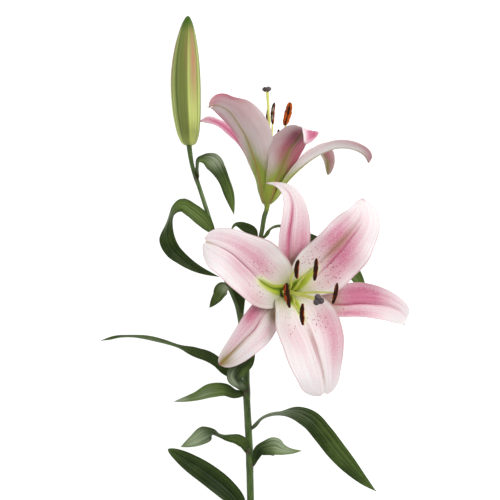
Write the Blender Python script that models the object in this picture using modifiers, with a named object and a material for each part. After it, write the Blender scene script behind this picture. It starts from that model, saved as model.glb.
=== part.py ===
"""Cut lily lying on its back: a stem with thirteen leaves, one closed bud and two open flowers.

+X right, +Y towards the bud, +Z up, metres, floor at z = 0. The tables below are in millimetres.
"""
import bpy
import numpy as np
from mathutils import Matrix, Vector

MM = 0.001
SHEET = 1.0          # thickness of a petal or a leaf
GAP = 0.3            # left open where two pieces meet
RECEPTACLE_FOOT = 2.6
RECEPTACLE_RADIUS = 7.2
RECEPTACLE_HEIGHT = 7.0
RECEPTACLE_DROP = 0.9    # top of the receptacle below the plane the tepals start from
TEPAL_ROWS, TEPAL_COLUMNS = 10, 7
LEAF_ROWS, LEAF_COLUMNS = 11, 5
BUD_RIDGE = 0.03     # height of the bud's ridges as a share of its radius
STIGMA_RADIUS, STIGMA_LOBE, STIGMA_HEIGHT = 4.2, 1.0, 2.2
SHARP = np.radians(50)
WELD = 0.00001       # metres

# Stem centre lines: x, y, z, radius. The first line carries on into the stalk of the bud.
STEM_TO_BUD = [
    (-1.6, -266, 3, 3), (-2.6, -228, 7.5, 3), (-3.1, -185, 12.5, 3), (-4, -129, 18, 3),
    (-5.4, -91, 23, 3), (-7.7, -54, 27, 3), (-10.4, -31, 30, 3), (-12.5, -15, 31.5, 2.9),
    (-15, -4, 33, 2.7), (-18.4, 5, 34, 2.6), (-22, 13.5, 35, 2.5), (-25.5, 21, 35.5, 2.5),
    (-32, 41, 36.5, 2.4), (-37, 64, 36, 2.3), (-41.5, 79, 35, 2.2), (-48.9, 102, 32, 2),
    (-56.5, 125, 25, 2), (-60.2, 142.4, 17.6, 2.4)]
STALK_TO_BACK = [(-12, -14, 32, 2.2), (-10, 4, 36, 2.2), (-4, 28, 40, 2.2), (3, 48, 42.5, 2.2),
                 (7, 62, 43.5, 2.3), (9.8, 78, 44, 2.4)]
STALK_TO_FRONT = [(-11, -28, 30.5, 2.2), (-2, -22, 31, 2.2), (10, -9, 31, 2.3), (20, 4, 34, 2.4)]

FRONT_BASE, FRONT_AXIS, FRONT_UP = (27, 9.5, 50), (0.34, -0.05, 0.94), (0, 1, 0)
BACK_BASE, BACK_AXIS, BACK_UP = (11.5, 92.5, 45), (0, 0.985, 0.174), (0, 0, 1)

# Tepals: azimuth about the flower's axis, then stations along the midrib as
# distance from the axis, shift sideways, height, half width, roll, cup (degrees).
FRONT_TEPALS = {
    "petal_1": (156.5, [(4.6, 0, 0, 4.2, 0, 52), (11.5, 1, 15, 9, 0, 50), (22, 5.5, 27, 15.5, 0, 46),
                      (40, 6, 39.5, 28, 0, 36), (60, 2, 48, 27, 0, 24), (82, -2, 51.5, 21.5, 0, 10),
                      (97, -1.5, 49, 14, 0, 0), (105, 0, 45, 4, 0, 0)]),
    "petal_2": (50.5, [(4.6, 0, 0, 4.2, 0, 52), (9.8, 0, 14, 8.3, 0, 50), (15, 0.4, 24, 15.5, 0, 46),
                     (27, 1, 34.5, 24, 0, 42), (45, 1.4, 43.5, 27, 0, 34), (65, 0.6, 50.5, 24.5, 0, 22),
                     (85, -0.4, 52.5, 20, 0, 10), (96, -1, 50, 14, 0, 0), (103, -1, 47, 4, 0, 0)]),
    "petal_3": (285, [(4.6, 0, 0, 4.2, 0, 52), (8.5, -0.4, 14, 10, 0, 52), (14, -0.5, 25, 18, 0, 48),
                      (24, 0, 34, 30, 0, 42), (44, 1, 42, 30, 0, 32), (60, 1.2, 45, 26, 0, 22),
                      (75, 0.8, 46, 20.5, 0, 10), (86, 0, 44.5, 15, 0, 0), (93, -0.4, 42, 4, 0, 0)]),
    "sepal_1": (98, [(6.4, 0, 0, 4.6, 0, 42), (12, 0.8, 12, 7.5, 0, 45), (22, 3.4, 25, 11.5, 0, 42),
                     (40, 4.6, 35, 15, 0, 36), (56, 3.2, 39, 15, 0, 30), (70, 0, 40, 12.5, 0, 24),
                     (82, -1.4, 39, 10, 0, 16), (91, 0.6, 37, 7.5, 0, 10), (97, 6, 33, 5, 0, 5),
                     (100.5, 16.5, 26, 2, 0, 0)]),
    "sepal_2": (353, [(6.4, 0, 0, 4.6, 0, 42), (12, -1.5, 12, 7.5, 0, 45), (19, -4, 22, 10, 0, 38),
                      (30, -5.4, 32, 13, 0, 36), (42, -4.6, 38, 15, 0, 32), (55, -1.6, 42.5, 16, 0, 28),
                      (70, -0.2, 45.5, 15, 0, 24), (85, -0.8, 46, 12.5, 0, 16), (97, -4.5, 43.5, 10.5, 0, 8),
                      (104, -10, 40, 7.5, 0, 0), (106, -16, 37, 3, 0, 0)]),
    "sepal_3": (220, [(6.4, 0, 0, 5.4, 0, 48), (12, -1.8, 12, 8, 0, 45), (24, -4.5, 23, 14, 0, 40),
                      (36, -5, 29, 17, 0, 32), (50, -1.6, 31.5, 17.5, 0, 26), (64, -0.4, 31, 14.5, 0, 18),
                      (80, 1.5, 27, 10.5, 0, 8), (88, 3, 24, 7, 0, 0), (92.5, 3.8, 22, 3, 0, 0)]),
}
BACK_TEPALS = {
    "petal_1": (53, [(4.6, 0, 0, 2.8, 0, 35), (9.5, 0, 16, 8, 0, 46), (15, 0, 31, 13.5, 0, 48),
                     (25, 1, 48, 21, 0, 46), (34, 2, 61, 24.5, 0, 44), (45, 2, 73, 25.5, 5, 42),
                     (57, 1, 85, 24.5, 12, 40), (69, 0, 91, 20, 20, 35), (84, 0, 92, 3, 22, 20)]),
    "petal_2": (125, [(5.4, 0, 0, 2.8, 0, 30), (14.5, 0, 19, 8.5, 0, 36), (26, 0, 37, 17, 0, 40),
                      (35, 0, 52, 20.5, 0, 36), (48, 0, 67, 17, 0, 26), (61, 0, 73, 10, 0, 10),
                      (70, -5, 70, 6.5, 0, 0), (68, -9, 59, 1, 0, 0)]),
    "petal_3": (287, [(4.6, 0, 0, 3.6, 0, 52), (14, 0, 16, 8, 0, 40), (25, 0, 32, 12.5, 0, 38),
                      (37, 0, 47, 16, 0, 38), (47, 0, 60, 15.5, 0, 36), (55, 0, 71, 13, 0, 30),
                      (61.6, 0, 79, 3, 0, 20)]),
    "sepal_1": (170, [(6.6, 0, 0, 2.6, 0, 24), (17, 0, 16, 7.5, 0, 26), (30, 0, 30, 15, 0, 44),
                      (49, 0, 44, 19, 0, 50), (64, 0, 50, 19, 0, 40), (75, 0, 50, 17, 0, 28),
                      (86, 0, 47, 14, 0, 16), (92, 0, 42, 10, 0, 8), (94, 0, 35, 3, 0, 0)]),
    "sepal_2": (218, [(6.4, 0, 0, 2.6, 0, 24), (16, 0, 14, 4, 0, 24), (30, 0, 28, 7, 0, 26),
                      (48, 0, 40, 11, 0, 26), (64, 0, 41, 10, 0, 20), (71, 0, 32, 7, 0, 10),
                      (72.8, 0, 17.5, 3, 0, 0)]),
    "sepal_3": (348, [(6.4, 0, 0, 2.6, 0, 24), (14.5, 0, 18, 5.5, 0, 30), (23.5, 0, 37, 9.5, 0, 34),
                      (32, 0, 52, 12, 0, 30), (40, 0, 64, 12, 0, 20), (48, 0, 71, 10, 0, 10),
                      (56, 0, 73, 8, 0, 0), (62, 0, 71, 2, 0, 0)]),
}

# Anthers: both ends, radius, and the azimuth at which the filament starts.
FRONT_ANTHERS = [
    ((36.9, 38.9, 134), (35.9, 22.3, 124), 1.9, 95), ((53.3, 39.9, 123), (51.7, 20.4, 121), 1.9, 40),
    ((23.2, 17.5, 127), (22.5, 3.5, 130), 1.9, 170), ((24.4, 19, 134), (28.4, -2.4, 142), 1.9, 230),
    ((40.8, 1.3, 130), (41.1, -17.7, 126), 1.9, 300), ((71.8, 18.6, 114), (68.2, 0.2, 110), 1.9, 350)]
BACK_ANTHERS = [
    ((17.3, 178.2, 78), (15.9, 158.7, 77), 1.8, 100), ((31.8, 178, 75), (27.3, 157.7, 75), 2.6, 150),
    ((12.5, 177, 44), (11, 159, 44), 1.8, 290), ((-3, 159, 67), (-4, 140, 65), 1.8, 45),
    ((-2, 160, 46), (-1, 141, 45), 1.8, 345), ((22, 157, 41), (21, 138, 40), 1.8, 220)]
FRONT_PISTIL = [(0, 0, -0.5), (-0.2, 0.1, 22), (-1.5, 0.3, 48), (-5.2, -0.3, 94)]
BACK_PISTIL = [(0, 0, -0.5), (-0.6, 0, 22), (-1.9, 0, 60), (0.1, 0, 100)]

# Leaves: stations along the midrib as x, y, z, half width, roll, cup (degrees).
LEAVES = {
    "leaf_1": [(-51.6, 115, 30.6, 1.5, 0, 30), (-52.5, 128, 39, 3, -40, 30), (-47, 132, 43, 5, -30, 20),
               (-40.7, 128.5, 44, 8, 0, 15), (-30.5, 118, 42, 7.5, 0, 15), (-23, 102, 38, 5.5, 0, 15),
               (-19.5, 80.5, 33, 1, 0, 10)],
    "leaf_2": [(-39.3, 65.5, 38.3, 2.4, 0, 20), (-49.6, 77, 43, 6.5, 0, 15), (-62, 84.5, 47, 6, -20, 15),
               (-72.5, 82, 45, 8, -65, 15), (-80, 69, 37, 7.5, -25, 15), (-77, 51, 30, 8, 0, 15),
               (-64.7, 37.5, 27, 7, 0, 15), (-50, 29, 27, 4.5, 0, 15), (-32.2, 22.5, 30, 1, 0, 10)],
    "leaf_3": [(2.2, 58, 44.3, 1.5, 0, 20), (-1, 64, 46, 4.5, 0, 20), (-9, 69, 46, 5, 0, 20),
               (-17, 71, 42, 2, 40, 20), (-21.3, 65.2, 38, 1, 0, 10)],
    "leaf_4": [(10.5, 60.2, 44.5, 1.5, 0, 20), (13.3, 65.2, 44.5, 3, 70, 20), (19.7, 69, 45, 4, 75, 20),
               (27, 69, 44, 4, 75, 20), (39, 65.2, 42, 4, 60, 20), (50.8, 58.5, 38, 5, 30, 20),
               (74, 44.5, 33, 6, 0, 15), (95.3, 24.5, 28, 5.5, 0, 15), (108, 2, 26, 1, 0, 10)],
    "leaf_5": [(-25.6, 14.6, 36.4, 3, 0, 20), (-29, 12.5, 37, 6, 0, 20), (-34, 4.5, 34, 5, 0, 20),
               (-41.5, -5.7, 30, 1, 0, 10)],
    "leaf_6": [(-10.1, -66, 27.3, 2.5, 0, 20), (-17.8, -67, 31, 4, 0, 20), (-26, -63.3, 34, 4.5, 0, 20),
               (-33.4, -56.5, 34, 5, 20, 20), (-43.5, -50.5, 31, 5.2, 20, 20), (-51.8, -48, 28, 4.8, 20, 20),
               (-67.6, -43, 24, 4.5, 66, 20), (-85.3, -38, 20, 4.5, 70, 20), (-104, -34, 16, 4, 70, 20),
               (-122.8, -33.5, 12, 3, 70, 20), (-142.6, -37.3, 9, 1, 0, 10)],
    "leaf_7": [(-8.3, -81, 27.3, 2.5, 0, 20), (-15, -77, 33, 6, 0, 20), (-20.3, -69.8, 41, 6.5, 30, 20),
               (-17.5, -61, 48, 6.5, 50, 20), (-9.4, -54.3, 52, 6, 60, 20), (0, -48, 54, 2, 60, 10)],
    "leaf_8": [(-9.7, -86, 23.5, 2.5, 0, 20), (-18, -87, 26, 5, 0, 20), (-27, -82, 29, 6.5, 0, 20),
               (-39, -82, 30, 6.5, 0, 20), (-54.6, -88, 26, 3.6, 0, 20), (-74, -93, 22, 1, 0, 10)],
    "leaf_9": [(0.3, -118, 21, 2.2, 0, 20), (4.2, -109.7, 26, 4, 70, 20), (12.6, -104.3, 30, 6, 72, 20),
               (25.4, -100.5, 33, 7, 70, 20), (38.2, -100.5, 34, 8, 65, 15), (49.8, -106, 33, 8.5, 30, 15),
               (62.8, -119.5, 29, 8, 0, 15), (76, -136.5, 23, 8.5, 0, 15), (87.7, -152, 17, 7.5, 0, 15),
               (100.5, -166.2, 12, 4.5, 0, 15), (113.3, -177.8, 8, 1, 0, 10)],
    "leaf_10": [(-8.5, -141, 18.6, 1.8, 0, 20), (-12, -129.3, 24, 4, -30, 20), (-21.5, -126, 28, 5, -40, 20),
                (-31.6, -122.7, 31, 5.5, -65, 20), (-38.9, -119.8, 33, 6.5, -45, 15), (-45.3, -122, 33, 8, 0, 15),
                (-54.6, -128, 29, 6, 0, 15), (-67.8, -134.7, 23, 1, 0, 10)],
    "leaf_11": [(1.3, -153, 16.5, 1.6, 0, 20), (5.2, -142.6, 21.5, 4.8, 0, 20), (9, -134.8, 24, 7.5, 0, 20),
                (17.3, -133.6, 27, 7.5, 0, 20), (26.4, -136, 28, 6, 0, 20), (43, -137.7, 26, 1, 0, 10)],
    "leaf_12": [(-7.5, -210.2, 11.5, 1.6, 0, 20), (-11.6, -198, 15, 4.3, 0, 20), (-15.2, -186.9, 17, 7.5, 0, 20),
                (-26.7, -173.2, 19, 9, 0, 20), (-41.5, -160.2, 19, 8.8, 0, 20), (-58.3, -148.5, 16, 6, 0, 20),
                (-80.4, -138.4, 11, 1, 0, 10)],
    "leaf_13": [(-11.4, -8, 36.8, 1.5, 0, 20), (-12.5, 0, 39.5, 3.5, 0, 20), (-15.5, 9, 41, 4, 0, 20),
                (-19, 20, 42, 1, 0, 10)],
}

# Bud: centre line from base to tip, and its radius along it.
BUD_BASE, BUD_TIP = (-60.4, 142.6, 16.6), (-61.8, 264.5, 10.2)
BUD_RADIUS = [(0, 3.2), (0.02, 6), (0.06, 8.5), (0.18, 11.6), (0.35, 13.2), (0.52, 13.4), (0.7, 11.4),
              (0.85, 8), (0.95, 4.4), (1, 1.2)]

COLOURS = {
    "stem": (0.13, 0.22, 0.06), "bud": (0.38, 0.42, 0.13), "petal": (0.85, 0.62, 0.70),
    "sepal": (0.80, 0.52, 0.60), "filament": (0.60, 0.64, 0.20), "anther": (0.18, 0.05, 0.01),
    "pistil": (0.50, 0.55, 0.18), "leaf": (0.07, 0.14, 0.04)}


def through(knots, values, at):
    """Values of a smooth curve that passes through the knots."""
    knots, values, at = np.asarray(knots, float), np.asarray(values, float), np.asarray(at, float)
    if values.ndim == 1:
        return through(knots, values[:, None], at)[:, 0]
    step = np.diff(knots)[:, None]
    chord = np.diff(values, axis=0) / step
    slope = np.empty_like(values)
    slope[1:-1] = (chord[:-1] * step[1:] + chord[1:] * step[:-1]) / (step[1:] + step[:-1])
    slope[0] = 1.5 * chord[0] - 0.5 * slope[1]
    slope[-1] = 1.5 * chord[-1] - 0.5 * slope[-2]
    i = np.clip(np.searchsorted(knots, at, side="right") - 1, 0, len(knots) - 2)
    h = step[i]
    t = (at - knots[i])[:, None] / h
    return ((2 * t**3 - 3 * t**2 + 1) * values[i] + (t**3 - 2 * t**2 + t) * h * slope[i]
            + (3 * t**2 - 2 * t**3) * values[i + 1] + (t**3 - t**2) * h * slope[i + 1])


def unit(a):
    return a / np.maximum(np.linalg.norm(a, axis=-1, keepdims=True), 1e-9)


def flower_frame(axis, up):
    """Columns: azimuth 0, azimuth 90, the flower's axis."""
    a = unit(np.asarray(axis, float))
    b = unit(np.asarray(up, float) - a * (a @ np.asarray(up, float)))
    return np.stack([np.cross(b, a), b, a], 1)


def blade(stations, rows, columns, across_hint=None):
    """Grid of points of a leaf or tepal; across_hint None means that its face looks up."""
    stations = np.asarray(stations, float)
    knots = np.concatenate([[0], np.cumsum(np.linalg.norm(np.diff(stations[:, :3], axis=0), axis=1))])
    knots /= knots[-1]
    fine = np.linspace(0, 1, 400)
    line = through(knots, stations[:, :3], fine)
    run = np.concatenate([[0], np.cumsum(np.linalg.norm(np.diff(line, axis=0), axis=1))])
    run /= run[-1]
    station_run = np.interp(knots, fine, run)
    s = np.linspace(0, 1, rows)
    at = np.interp(s, run, fine)
    middle = through(knots, stations[:, :3], at)
    tangent = unit(through(knots, stations[:, :3], np.minimum(at + 1e-3, 1))
                   - through(knots, stations[:, :3], np.maximum(at - 1e-3, 0)))
    taper = np.maximum(1 - station_run**3, 1e-6) ** 0.6
    full = stations[:, 3] / taper
    full[-1] = full[-2]
    half = np.maximum(through(station_run, full, s) * np.maximum(1 - s**3, 1e-6) ** 0.6, 0.5)
    roll, cup = np.radians(through(station_run, stations[:, 4:6], s)).T
    if across_hint is None:
        across = unit(np.cross((0, 0, 1), tangent))
    else:
        hint = np.asarray(across_hint, float)
        across = unit(hint - (tangent @ hint)[:, None] * tangent)
    normal = np.cross(tangent, across)
    cos, sin = np.cos(roll)[:, None], np.sin(roll)[:, None]
    across, normal = across * cos + normal * sin, normal * cos - across * sin
    angle = np.where(np.abs(cup) < 1e-3, 1e-3, cup)[:, None]
    u = np.linspace(-1, 1, columns)
    out = half[:, None] * np.sin(angle * u) / angle
    lift = half[:, None] * (1 - np.cos(angle * u)) / angle
    return middle[:, None] + out[..., None] * across[:, None] + lift[..., None] * normal[:, None]


def material_for(name, kind):
    """The part's own Principled material."""
    material = bpy.data.materials.new(name)
    material.use_nodes = True
    shader = material.node_tree.nodes["Principled BSDF"]
    shader.inputs["Base Color"].default_value = (*COLOURS[kind], 1)
    shader.inputs["Roughness"].default_value = 0.6
    return material


def add_piece(name, kind, mesh, place=None, parent=None):
    """One named object in the part's collection, placed by a matrix below its parent."""
    made = bpy.data.objects.new(name, mesh)
    mesh.materials.clear()
    mesh.materials.append(material_for(name, kind))
    mesh.shade_smooth()
    mesh.set_sharp_from_angle(angle=SHARP)
    made.parent = parent
    if place is not None:
        made.location, made.rotation_euler = place.to_translation(), place.to_euler()
    PART.objects.link(made)
    return made


def placed(turn, location):
    """Matrix of a rotation whose columns are given, at a place in millimetres."""
    return Matrix.Translation(Vector(location) * MM) @ Matrix([list(row) for row in turn]).to_4x4()


def taken(made):
    """The mesh of a primitive; the object that carried it is removed."""
    mesh = made.data
    bpy.data.objects.remove(made)
    return mesh


def evaluated(source):
    """A mesh of the object with its modifiers applied; the object itself is removed."""
    bpy.context.view_layer.update()
    mesh = bpy.data.meshes.new_from_object(source.evaluated_get(bpy.context.evaluated_depsgraph_get()))
    mesh.transform(source.matrix_world)
    bpy.data.objects.remove(source)
    return mesh


def blade_mesh(grid):
    """A grid primitive moved to the points of the blade."""
    rows, columns = grid.shape[:2]
    bpy.ops.mesh.primitive_grid_add(x_subdivisions=columns - 1, y_subdivisions=rows - 1, size=2)
    mesh = taken(bpy.context.active_object)
    for vertex in mesh.vertices:
        column = round((vertex.co.x + 1) / 2 * (columns - 1))
        row = round((vertex.co.y + 1) / 2 * (rows - 1))
        vertex.co = Vector(grid[row, column] * MM)
    return mesh


def thicken(made):
    thick = made.modifiers.new("thickness", "SOLIDIFY")
    thick.thickness = SHEET * MM
    thick.offset = 0


def tube(points, sides):
    """A closed tube through (x, y, z, radius) points."""
    data = bpy.data.curves.new("path", "CURVE")
    data.dimensions = "3D"
    spline = data.splines.new("POLY")
    spline.points.add(len(points) - 1)
    for point, (x, y, z, radius) in zip(spline.points, points):
        point.co = (x * MM, y * MM, z * MM, 1)
        point.radius = radius
    data.bevel_depth = MM
    data.bevel_resolution = (sides - 4) // 2
    data.use_fill_caps = True
    path = bpy.data.objects.new("path", data)
    bpy.context.scene.collection.objects.link(path)
    solid = bpy.data.objects.new("tube", evaluated(path))
    bpy.context.scene.collection.objects.link(solid)
    weld(solid)
    return solid


def weld(made):
    """Joins the caps to the tube and turns every face outwards."""
    bpy.ops.object.select_all(action="DESELECT")
    bpy.context.view_layer.objects.active = made
    made.select_set(True)
    bpy.ops.object.mode_set(mode="EDIT")
    bpy.ops.mesh.select_all(action="SELECT")
    bpy.ops.mesh.remove_doubles(threshold=WELD)
    bpy.ops.mesh.normals_make_consistent(inside=False)
    bpy.ops.object.mode_set(mode="OBJECT")


def smooth_path(points, count):
    """Evenly spaced points of the smooth curve through the given ones."""
    points = np.asarray(points, float)
    knots = np.concatenate([[0], np.cumsum(np.linalg.norm(np.diff(points[:, :3], axis=0), axis=1))])
    return through(knots, points, np.linspace(0, knots[-1], count))


def join_solids(first, others):
    """Union of closed solids as one mesh; the objects are removed."""
    for other in others:
        union = first.modifiers.new("union", "BOOLEAN")
        union.operation, union.solver, union.object = "UNION", "EXACT", other
        mesh = evaluated(first)
        bpy.data.objects.remove(other)
        first = bpy.data.objects.new("joined", mesh)
        bpy.context.scene.collection.objects.link(first)
    weld(first)
    return taken(first)


def receptacle(base, frame):
    """The knob at the end of a flower stalk."""
    middle = np.asarray(base, float) - frame[:, 2] * (RECEPTACLE_DROP + RECEPTACLE_HEIGHT / 2)
    bpy.ops.mesh.primitive_cone_add(vertices=12, radius1=RECEPTACLE_FOOT * MM,
                                    radius2=RECEPTACLE_RADIUS * MM, depth=RECEPTACLE_HEIGHT * MM)
    knob = bpy.context.active_object
    knob.matrix_world = placed(frame, middle)
    return knob


def stalk(points, base, frame, count):
    """A flower stalk that ends inside its receptacle, along the flower's axis."""
    inside = np.asarray(base, float) - frame[:, 2] * (RECEPTACLE_DROP + 3)
    below = np.asarray(base, float) - frame[:, 2] * (RECEPTACLE_DROP + RECEPTACLE_HEIGHT + 1)
    return tube(smooth_path(list(points) + [(*below, 2.4), (*inside, 2.2)], count), 8)


def make_stem():
    """The main stem, which carries on to the bud, with the stalks of the two flowers."""
    main = tube(smooth_path(STEM_TO_BUD, 34), 8)
    front, back = flower_frame(FRONT_AXIS, FRONT_UP), flower_frame(BACK_AXIS, BACK_UP)
    others = [stalk(STALK_TO_BACK, BACK_BASE, back, 12), stalk(STALK_TO_FRONT, FRONT_BASE, front, 9),
              receptacle(BACK_BASE, back), receptacle(FRONT_BASE, front)]
    add_piece("stem", "stem", join_solids(main, others))


def make_bud():
    """A sphere primitive drawn out from base to tip, with six shallow ridges."""
    way = np.asarray(BUD_TIP, float) - np.asarray(BUD_BASE, float)
    along, radii = np.asarray(BUD_RADIUS).T
    bpy.ops.mesh.primitive_uv_sphere_add(segments=18, ring_count=16, radius=1)
    mesh = taken(bpy.context.active_object)
    for vertex in mesh.vertices:
        x, y, z = vertex.co
        share = 1 - np.arccos(max(-1, min(1, z))) / np.pi
        turn = np.arctan2(y, x)
        radius = float(through(along, radii, [share])[0]) if 0.001 < share < 0.999 else 0
        radius *= 1 + BUD_RIDGE * np.cos(6 * turn)
        height = np.linalg.norm(way) * share
        vertex.co = Vector((radius * np.cos(turn), radius * np.sin(turn), height)) * MM
    add_piece("bud", "bud", mesh, placed(flower_frame(way, (0, 0, 1)), BUD_BASE))


def make_leaf(name, stations):
    """A leaf whose origin is where it joins the stem."""
    foot = stations[0][:3]
    local = [(x - foot[0], y - foot[1], z - foot[2], *rest) for x, y, z, *rest in stations]
    mesh = blade_mesh(blade(local, LEAF_ROWS, LEAF_COLUMNS))
    thicken(add_piece(name, "leaf", mesh, Matrix.Translation(Vector(foot) * MM)))


def make_tepal(flower, name, azimuth, stations):
    """A tepal shaped in the plane of its azimuth, then turned to it about the flower's axis."""
    grid = blade(stations, TEPAL_ROWS, TEPAL_COLUMNS, across_hint=(0, 1, 0))
    turn = Matrix.Rotation(np.radians(azimuth), 4, "Z")
    thicken(add_piece(f"{flower.name}_{name}", name[:5], blade_mesh(grid), turn, flower))


def make_stamen(flower, number, one, two, radius, azimuth):
    """An anther between two points, and the filament from the flower's centre to its side."""
    middle, length = (one + two) / 2, np.linalg.norm(two - one)
    a = np.radians(azimuth)
    start = np.array([3.1 * np.cos(a), 3.1 * np.sin(a), -0.4])
    rise = np.array([4 * np.cos(a), 4 * np.sin(a), 14])
    long, way = unit(two - one), unit(middle - rise)
    seat = radius + GAP + 0.1 + 0.6 * abs(way @ long)
    end = middle - unit(way - long * (way @ long)) * seat
    bend = 0.45 * start + 0.55 * end + (0, 0, 0.6)
    line = smooth_path([(*start, 0.6), (*rise, 0.6), (*bend, 0.6), (*end, 0.4)], 7)
    add_piece(f"{flower.name}_filament_{number}", "filament", taken(tube(line, 4)), parent=flower)
    bpy.ops.mesh.primitive_uv_sphere_add(segments=8, ring_count=6, radius=1)
    mesh = taken(bpy.context.active_object)
    mesh.transform(Matrix.Diagonal((radius * MM, radius * MM, length / 2 * MM, 1)))
    across = unit(np.cross(long, way))
    turn = np.stack([across, np.cross(long, across), long], 1)
    add_piece(f"{flower.name}_anther_{number}", "anther", mesh, placed(turn, middle), flower)


def make_pistil(flower, line):
    """Ovary, style and the three-lobed stigma, one piece."""
    path = smooth_path([(*point, 1) for point in line], 12)
    share = np.linspace(0, 1, 12)
    path[:, 3] = np.interp(share, [0, 0.04, 0.2, 0.28, 0.9, 1], [1.7, 1.9, 1.9, 1.2, 1.2, 1.9])
    bpy.ops.mesh.primitive_uv_sphere_add(segments=12, ring_count=6, radius=1)
    stigma = bpy.context.active_object
    for vertex in stigma.data.vertices:
        x, y, z = vertex.co
        wide = STIGMA_RADIUS + STIGMA_LOBE * np.cos(3 * np.arctan2(y, x))
        vertex.co = Vector((wide * x, wide * y, STIGMA_HEIGHT * z)) * MM
    stigma.matrix_world = placed(flower_frame(path[-1, :3] - path[-2, :3], (0, 1, 0)), path[-1, :3])
    mesh = join_solids(tube(path, 8), [stigma])
    add_piece(f"{flower.name}_pistil", "pistil", mesh, parent=flower)


def make_flower(name, base, axis, up, tepals, anthers, pistil):
    """An empty at the flower's base, its Z along the flower's axis, carries the flower's pieces."""
    frame = flower_frame(axis, up)
    flower = bpy.data.objects.new(name, None)
    flower.matrix_world = placed(frame, base)
    PART.objects.link(flower)
    for tepal, (azimuth, stations) in tepals.items():
        make_tepal(flower, tepal, azimuth, stations)
    for number, (one, two, radius, azimuth) in enumerate(anthers, 1):
        ends = (np.array([one, two]) - base) @ frame
        make_stamen(flower, number, *ends, radius, azimuth)
    make_pistil(flower, pistil)


for old in list(bpy.data.objects):
    bpy.data.objects.remove(old)
PART = bpy.data.collections.new("cut_lily")
bpy.context.scene.collection.children.link(PART)

make_stem()
make_bud()
for leaf, leaf_stations in LEAVES.items():
    make_leaf(leaf, leaf_stations)
make_flower("front", FRONT_BASE, FRONT_AXIS, FRONT_UP, FRONT_TEPALS, FRONT_ANTHERS, FRONT_PISTIL)
make_flower("back", BACK_BASE, BACK_AXIS, BACK_UP, BACK_TEPALS, BACK_ANTHERS, BACK_PISTIL)
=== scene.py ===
"""Cut lily lying on its back: the visual pieces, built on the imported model.

+X is to the right, +Y towards the bud and +Z up. The tables are in millimetres and degrees.
"""

import math

import bpy
import numpy as np
from mathutils import Matrix, Vector


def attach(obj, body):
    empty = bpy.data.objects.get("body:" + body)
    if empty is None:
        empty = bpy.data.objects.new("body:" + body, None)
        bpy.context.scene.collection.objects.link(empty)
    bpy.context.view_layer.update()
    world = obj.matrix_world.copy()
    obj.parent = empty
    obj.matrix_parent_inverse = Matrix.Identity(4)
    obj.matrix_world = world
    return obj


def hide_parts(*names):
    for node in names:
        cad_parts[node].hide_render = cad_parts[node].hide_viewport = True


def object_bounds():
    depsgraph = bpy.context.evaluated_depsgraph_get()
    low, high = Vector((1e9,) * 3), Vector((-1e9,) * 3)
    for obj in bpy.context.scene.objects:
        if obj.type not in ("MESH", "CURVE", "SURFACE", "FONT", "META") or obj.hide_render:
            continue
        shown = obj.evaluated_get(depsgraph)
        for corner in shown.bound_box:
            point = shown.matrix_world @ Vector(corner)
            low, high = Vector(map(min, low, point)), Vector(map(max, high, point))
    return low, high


bl_info = {
    "name": "Cut Lily",
    "version": (1, 0, 0),
    "blender": (4, 5, 0),
    "location": "View3D > Sidebar > Lily",
    "description": "Builds a cut lily with two open flowers, a bud and its leaves",
    "category": "Object",
}

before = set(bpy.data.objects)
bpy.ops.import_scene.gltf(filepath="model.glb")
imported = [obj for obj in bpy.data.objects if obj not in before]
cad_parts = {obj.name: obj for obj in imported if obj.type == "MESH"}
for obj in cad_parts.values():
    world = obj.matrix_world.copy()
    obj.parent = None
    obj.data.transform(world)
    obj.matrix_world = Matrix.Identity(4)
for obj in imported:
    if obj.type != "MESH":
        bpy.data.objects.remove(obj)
CAD_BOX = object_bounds()
MM = 0.001

# Stem centre lines: x, y, z, radius. The first line carries on into the stalk of the bud.
STEM_TO_BUD = [
    (-1.2, -266, 3.8, 3.4), (-2.4, -228, 7.5, 3.4), (-3.5, -185, 12.5, 3.4), (-5, -129, 18, 3.4),
    (-7, -91, 23, 3.3), (-8.3, -54, 27, 3.2), (-10.6, -31, 30, 3.1), (-12.7, -15, 31.5, 3),
    (-15.3, -4, 33, 2.7), (-18.9, 5, 34, 2.6), (-22.7, 13.5, 35, 2.4), (-26.3, 21, 35.5, 2.3),
    (-32.8, 41, 36.5, 2.2), (-37.8, 64, 36, 2.1), (-42.3, 79, 35, 2.1), (-49.7, 102, 32, 2),
    (-57.3, 125, 25, 2.1), (-60.5, 144.4, 16.8, 2.6)]
STALK_TO_BACK = [(-12, -14, 32, 2.2), (-10, 4, 36, 2.2), (-4, 28, 40, 2.2), (2.6, 48, 42.5, 2.2),
                 (6.4, 62, 43.5, 2.2), (9.2, 78, 44, 2.3)]
STALK_TO_FRONT = [(-11, -28, 30.5, 2.2), (-2, -22, 31, 2.2), (10, -9, 31, 2.3), (20, 4, 34, 2.4)]
# Where a flower's tepals sit: place along the flower's axis from its base, and radius.
RECEPTACLE = [(-6.5, 2.4), (-4.8, 2.6), (-3.4, 3.8), (-1.5, 4.6), (1.5, 4.6)]

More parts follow.
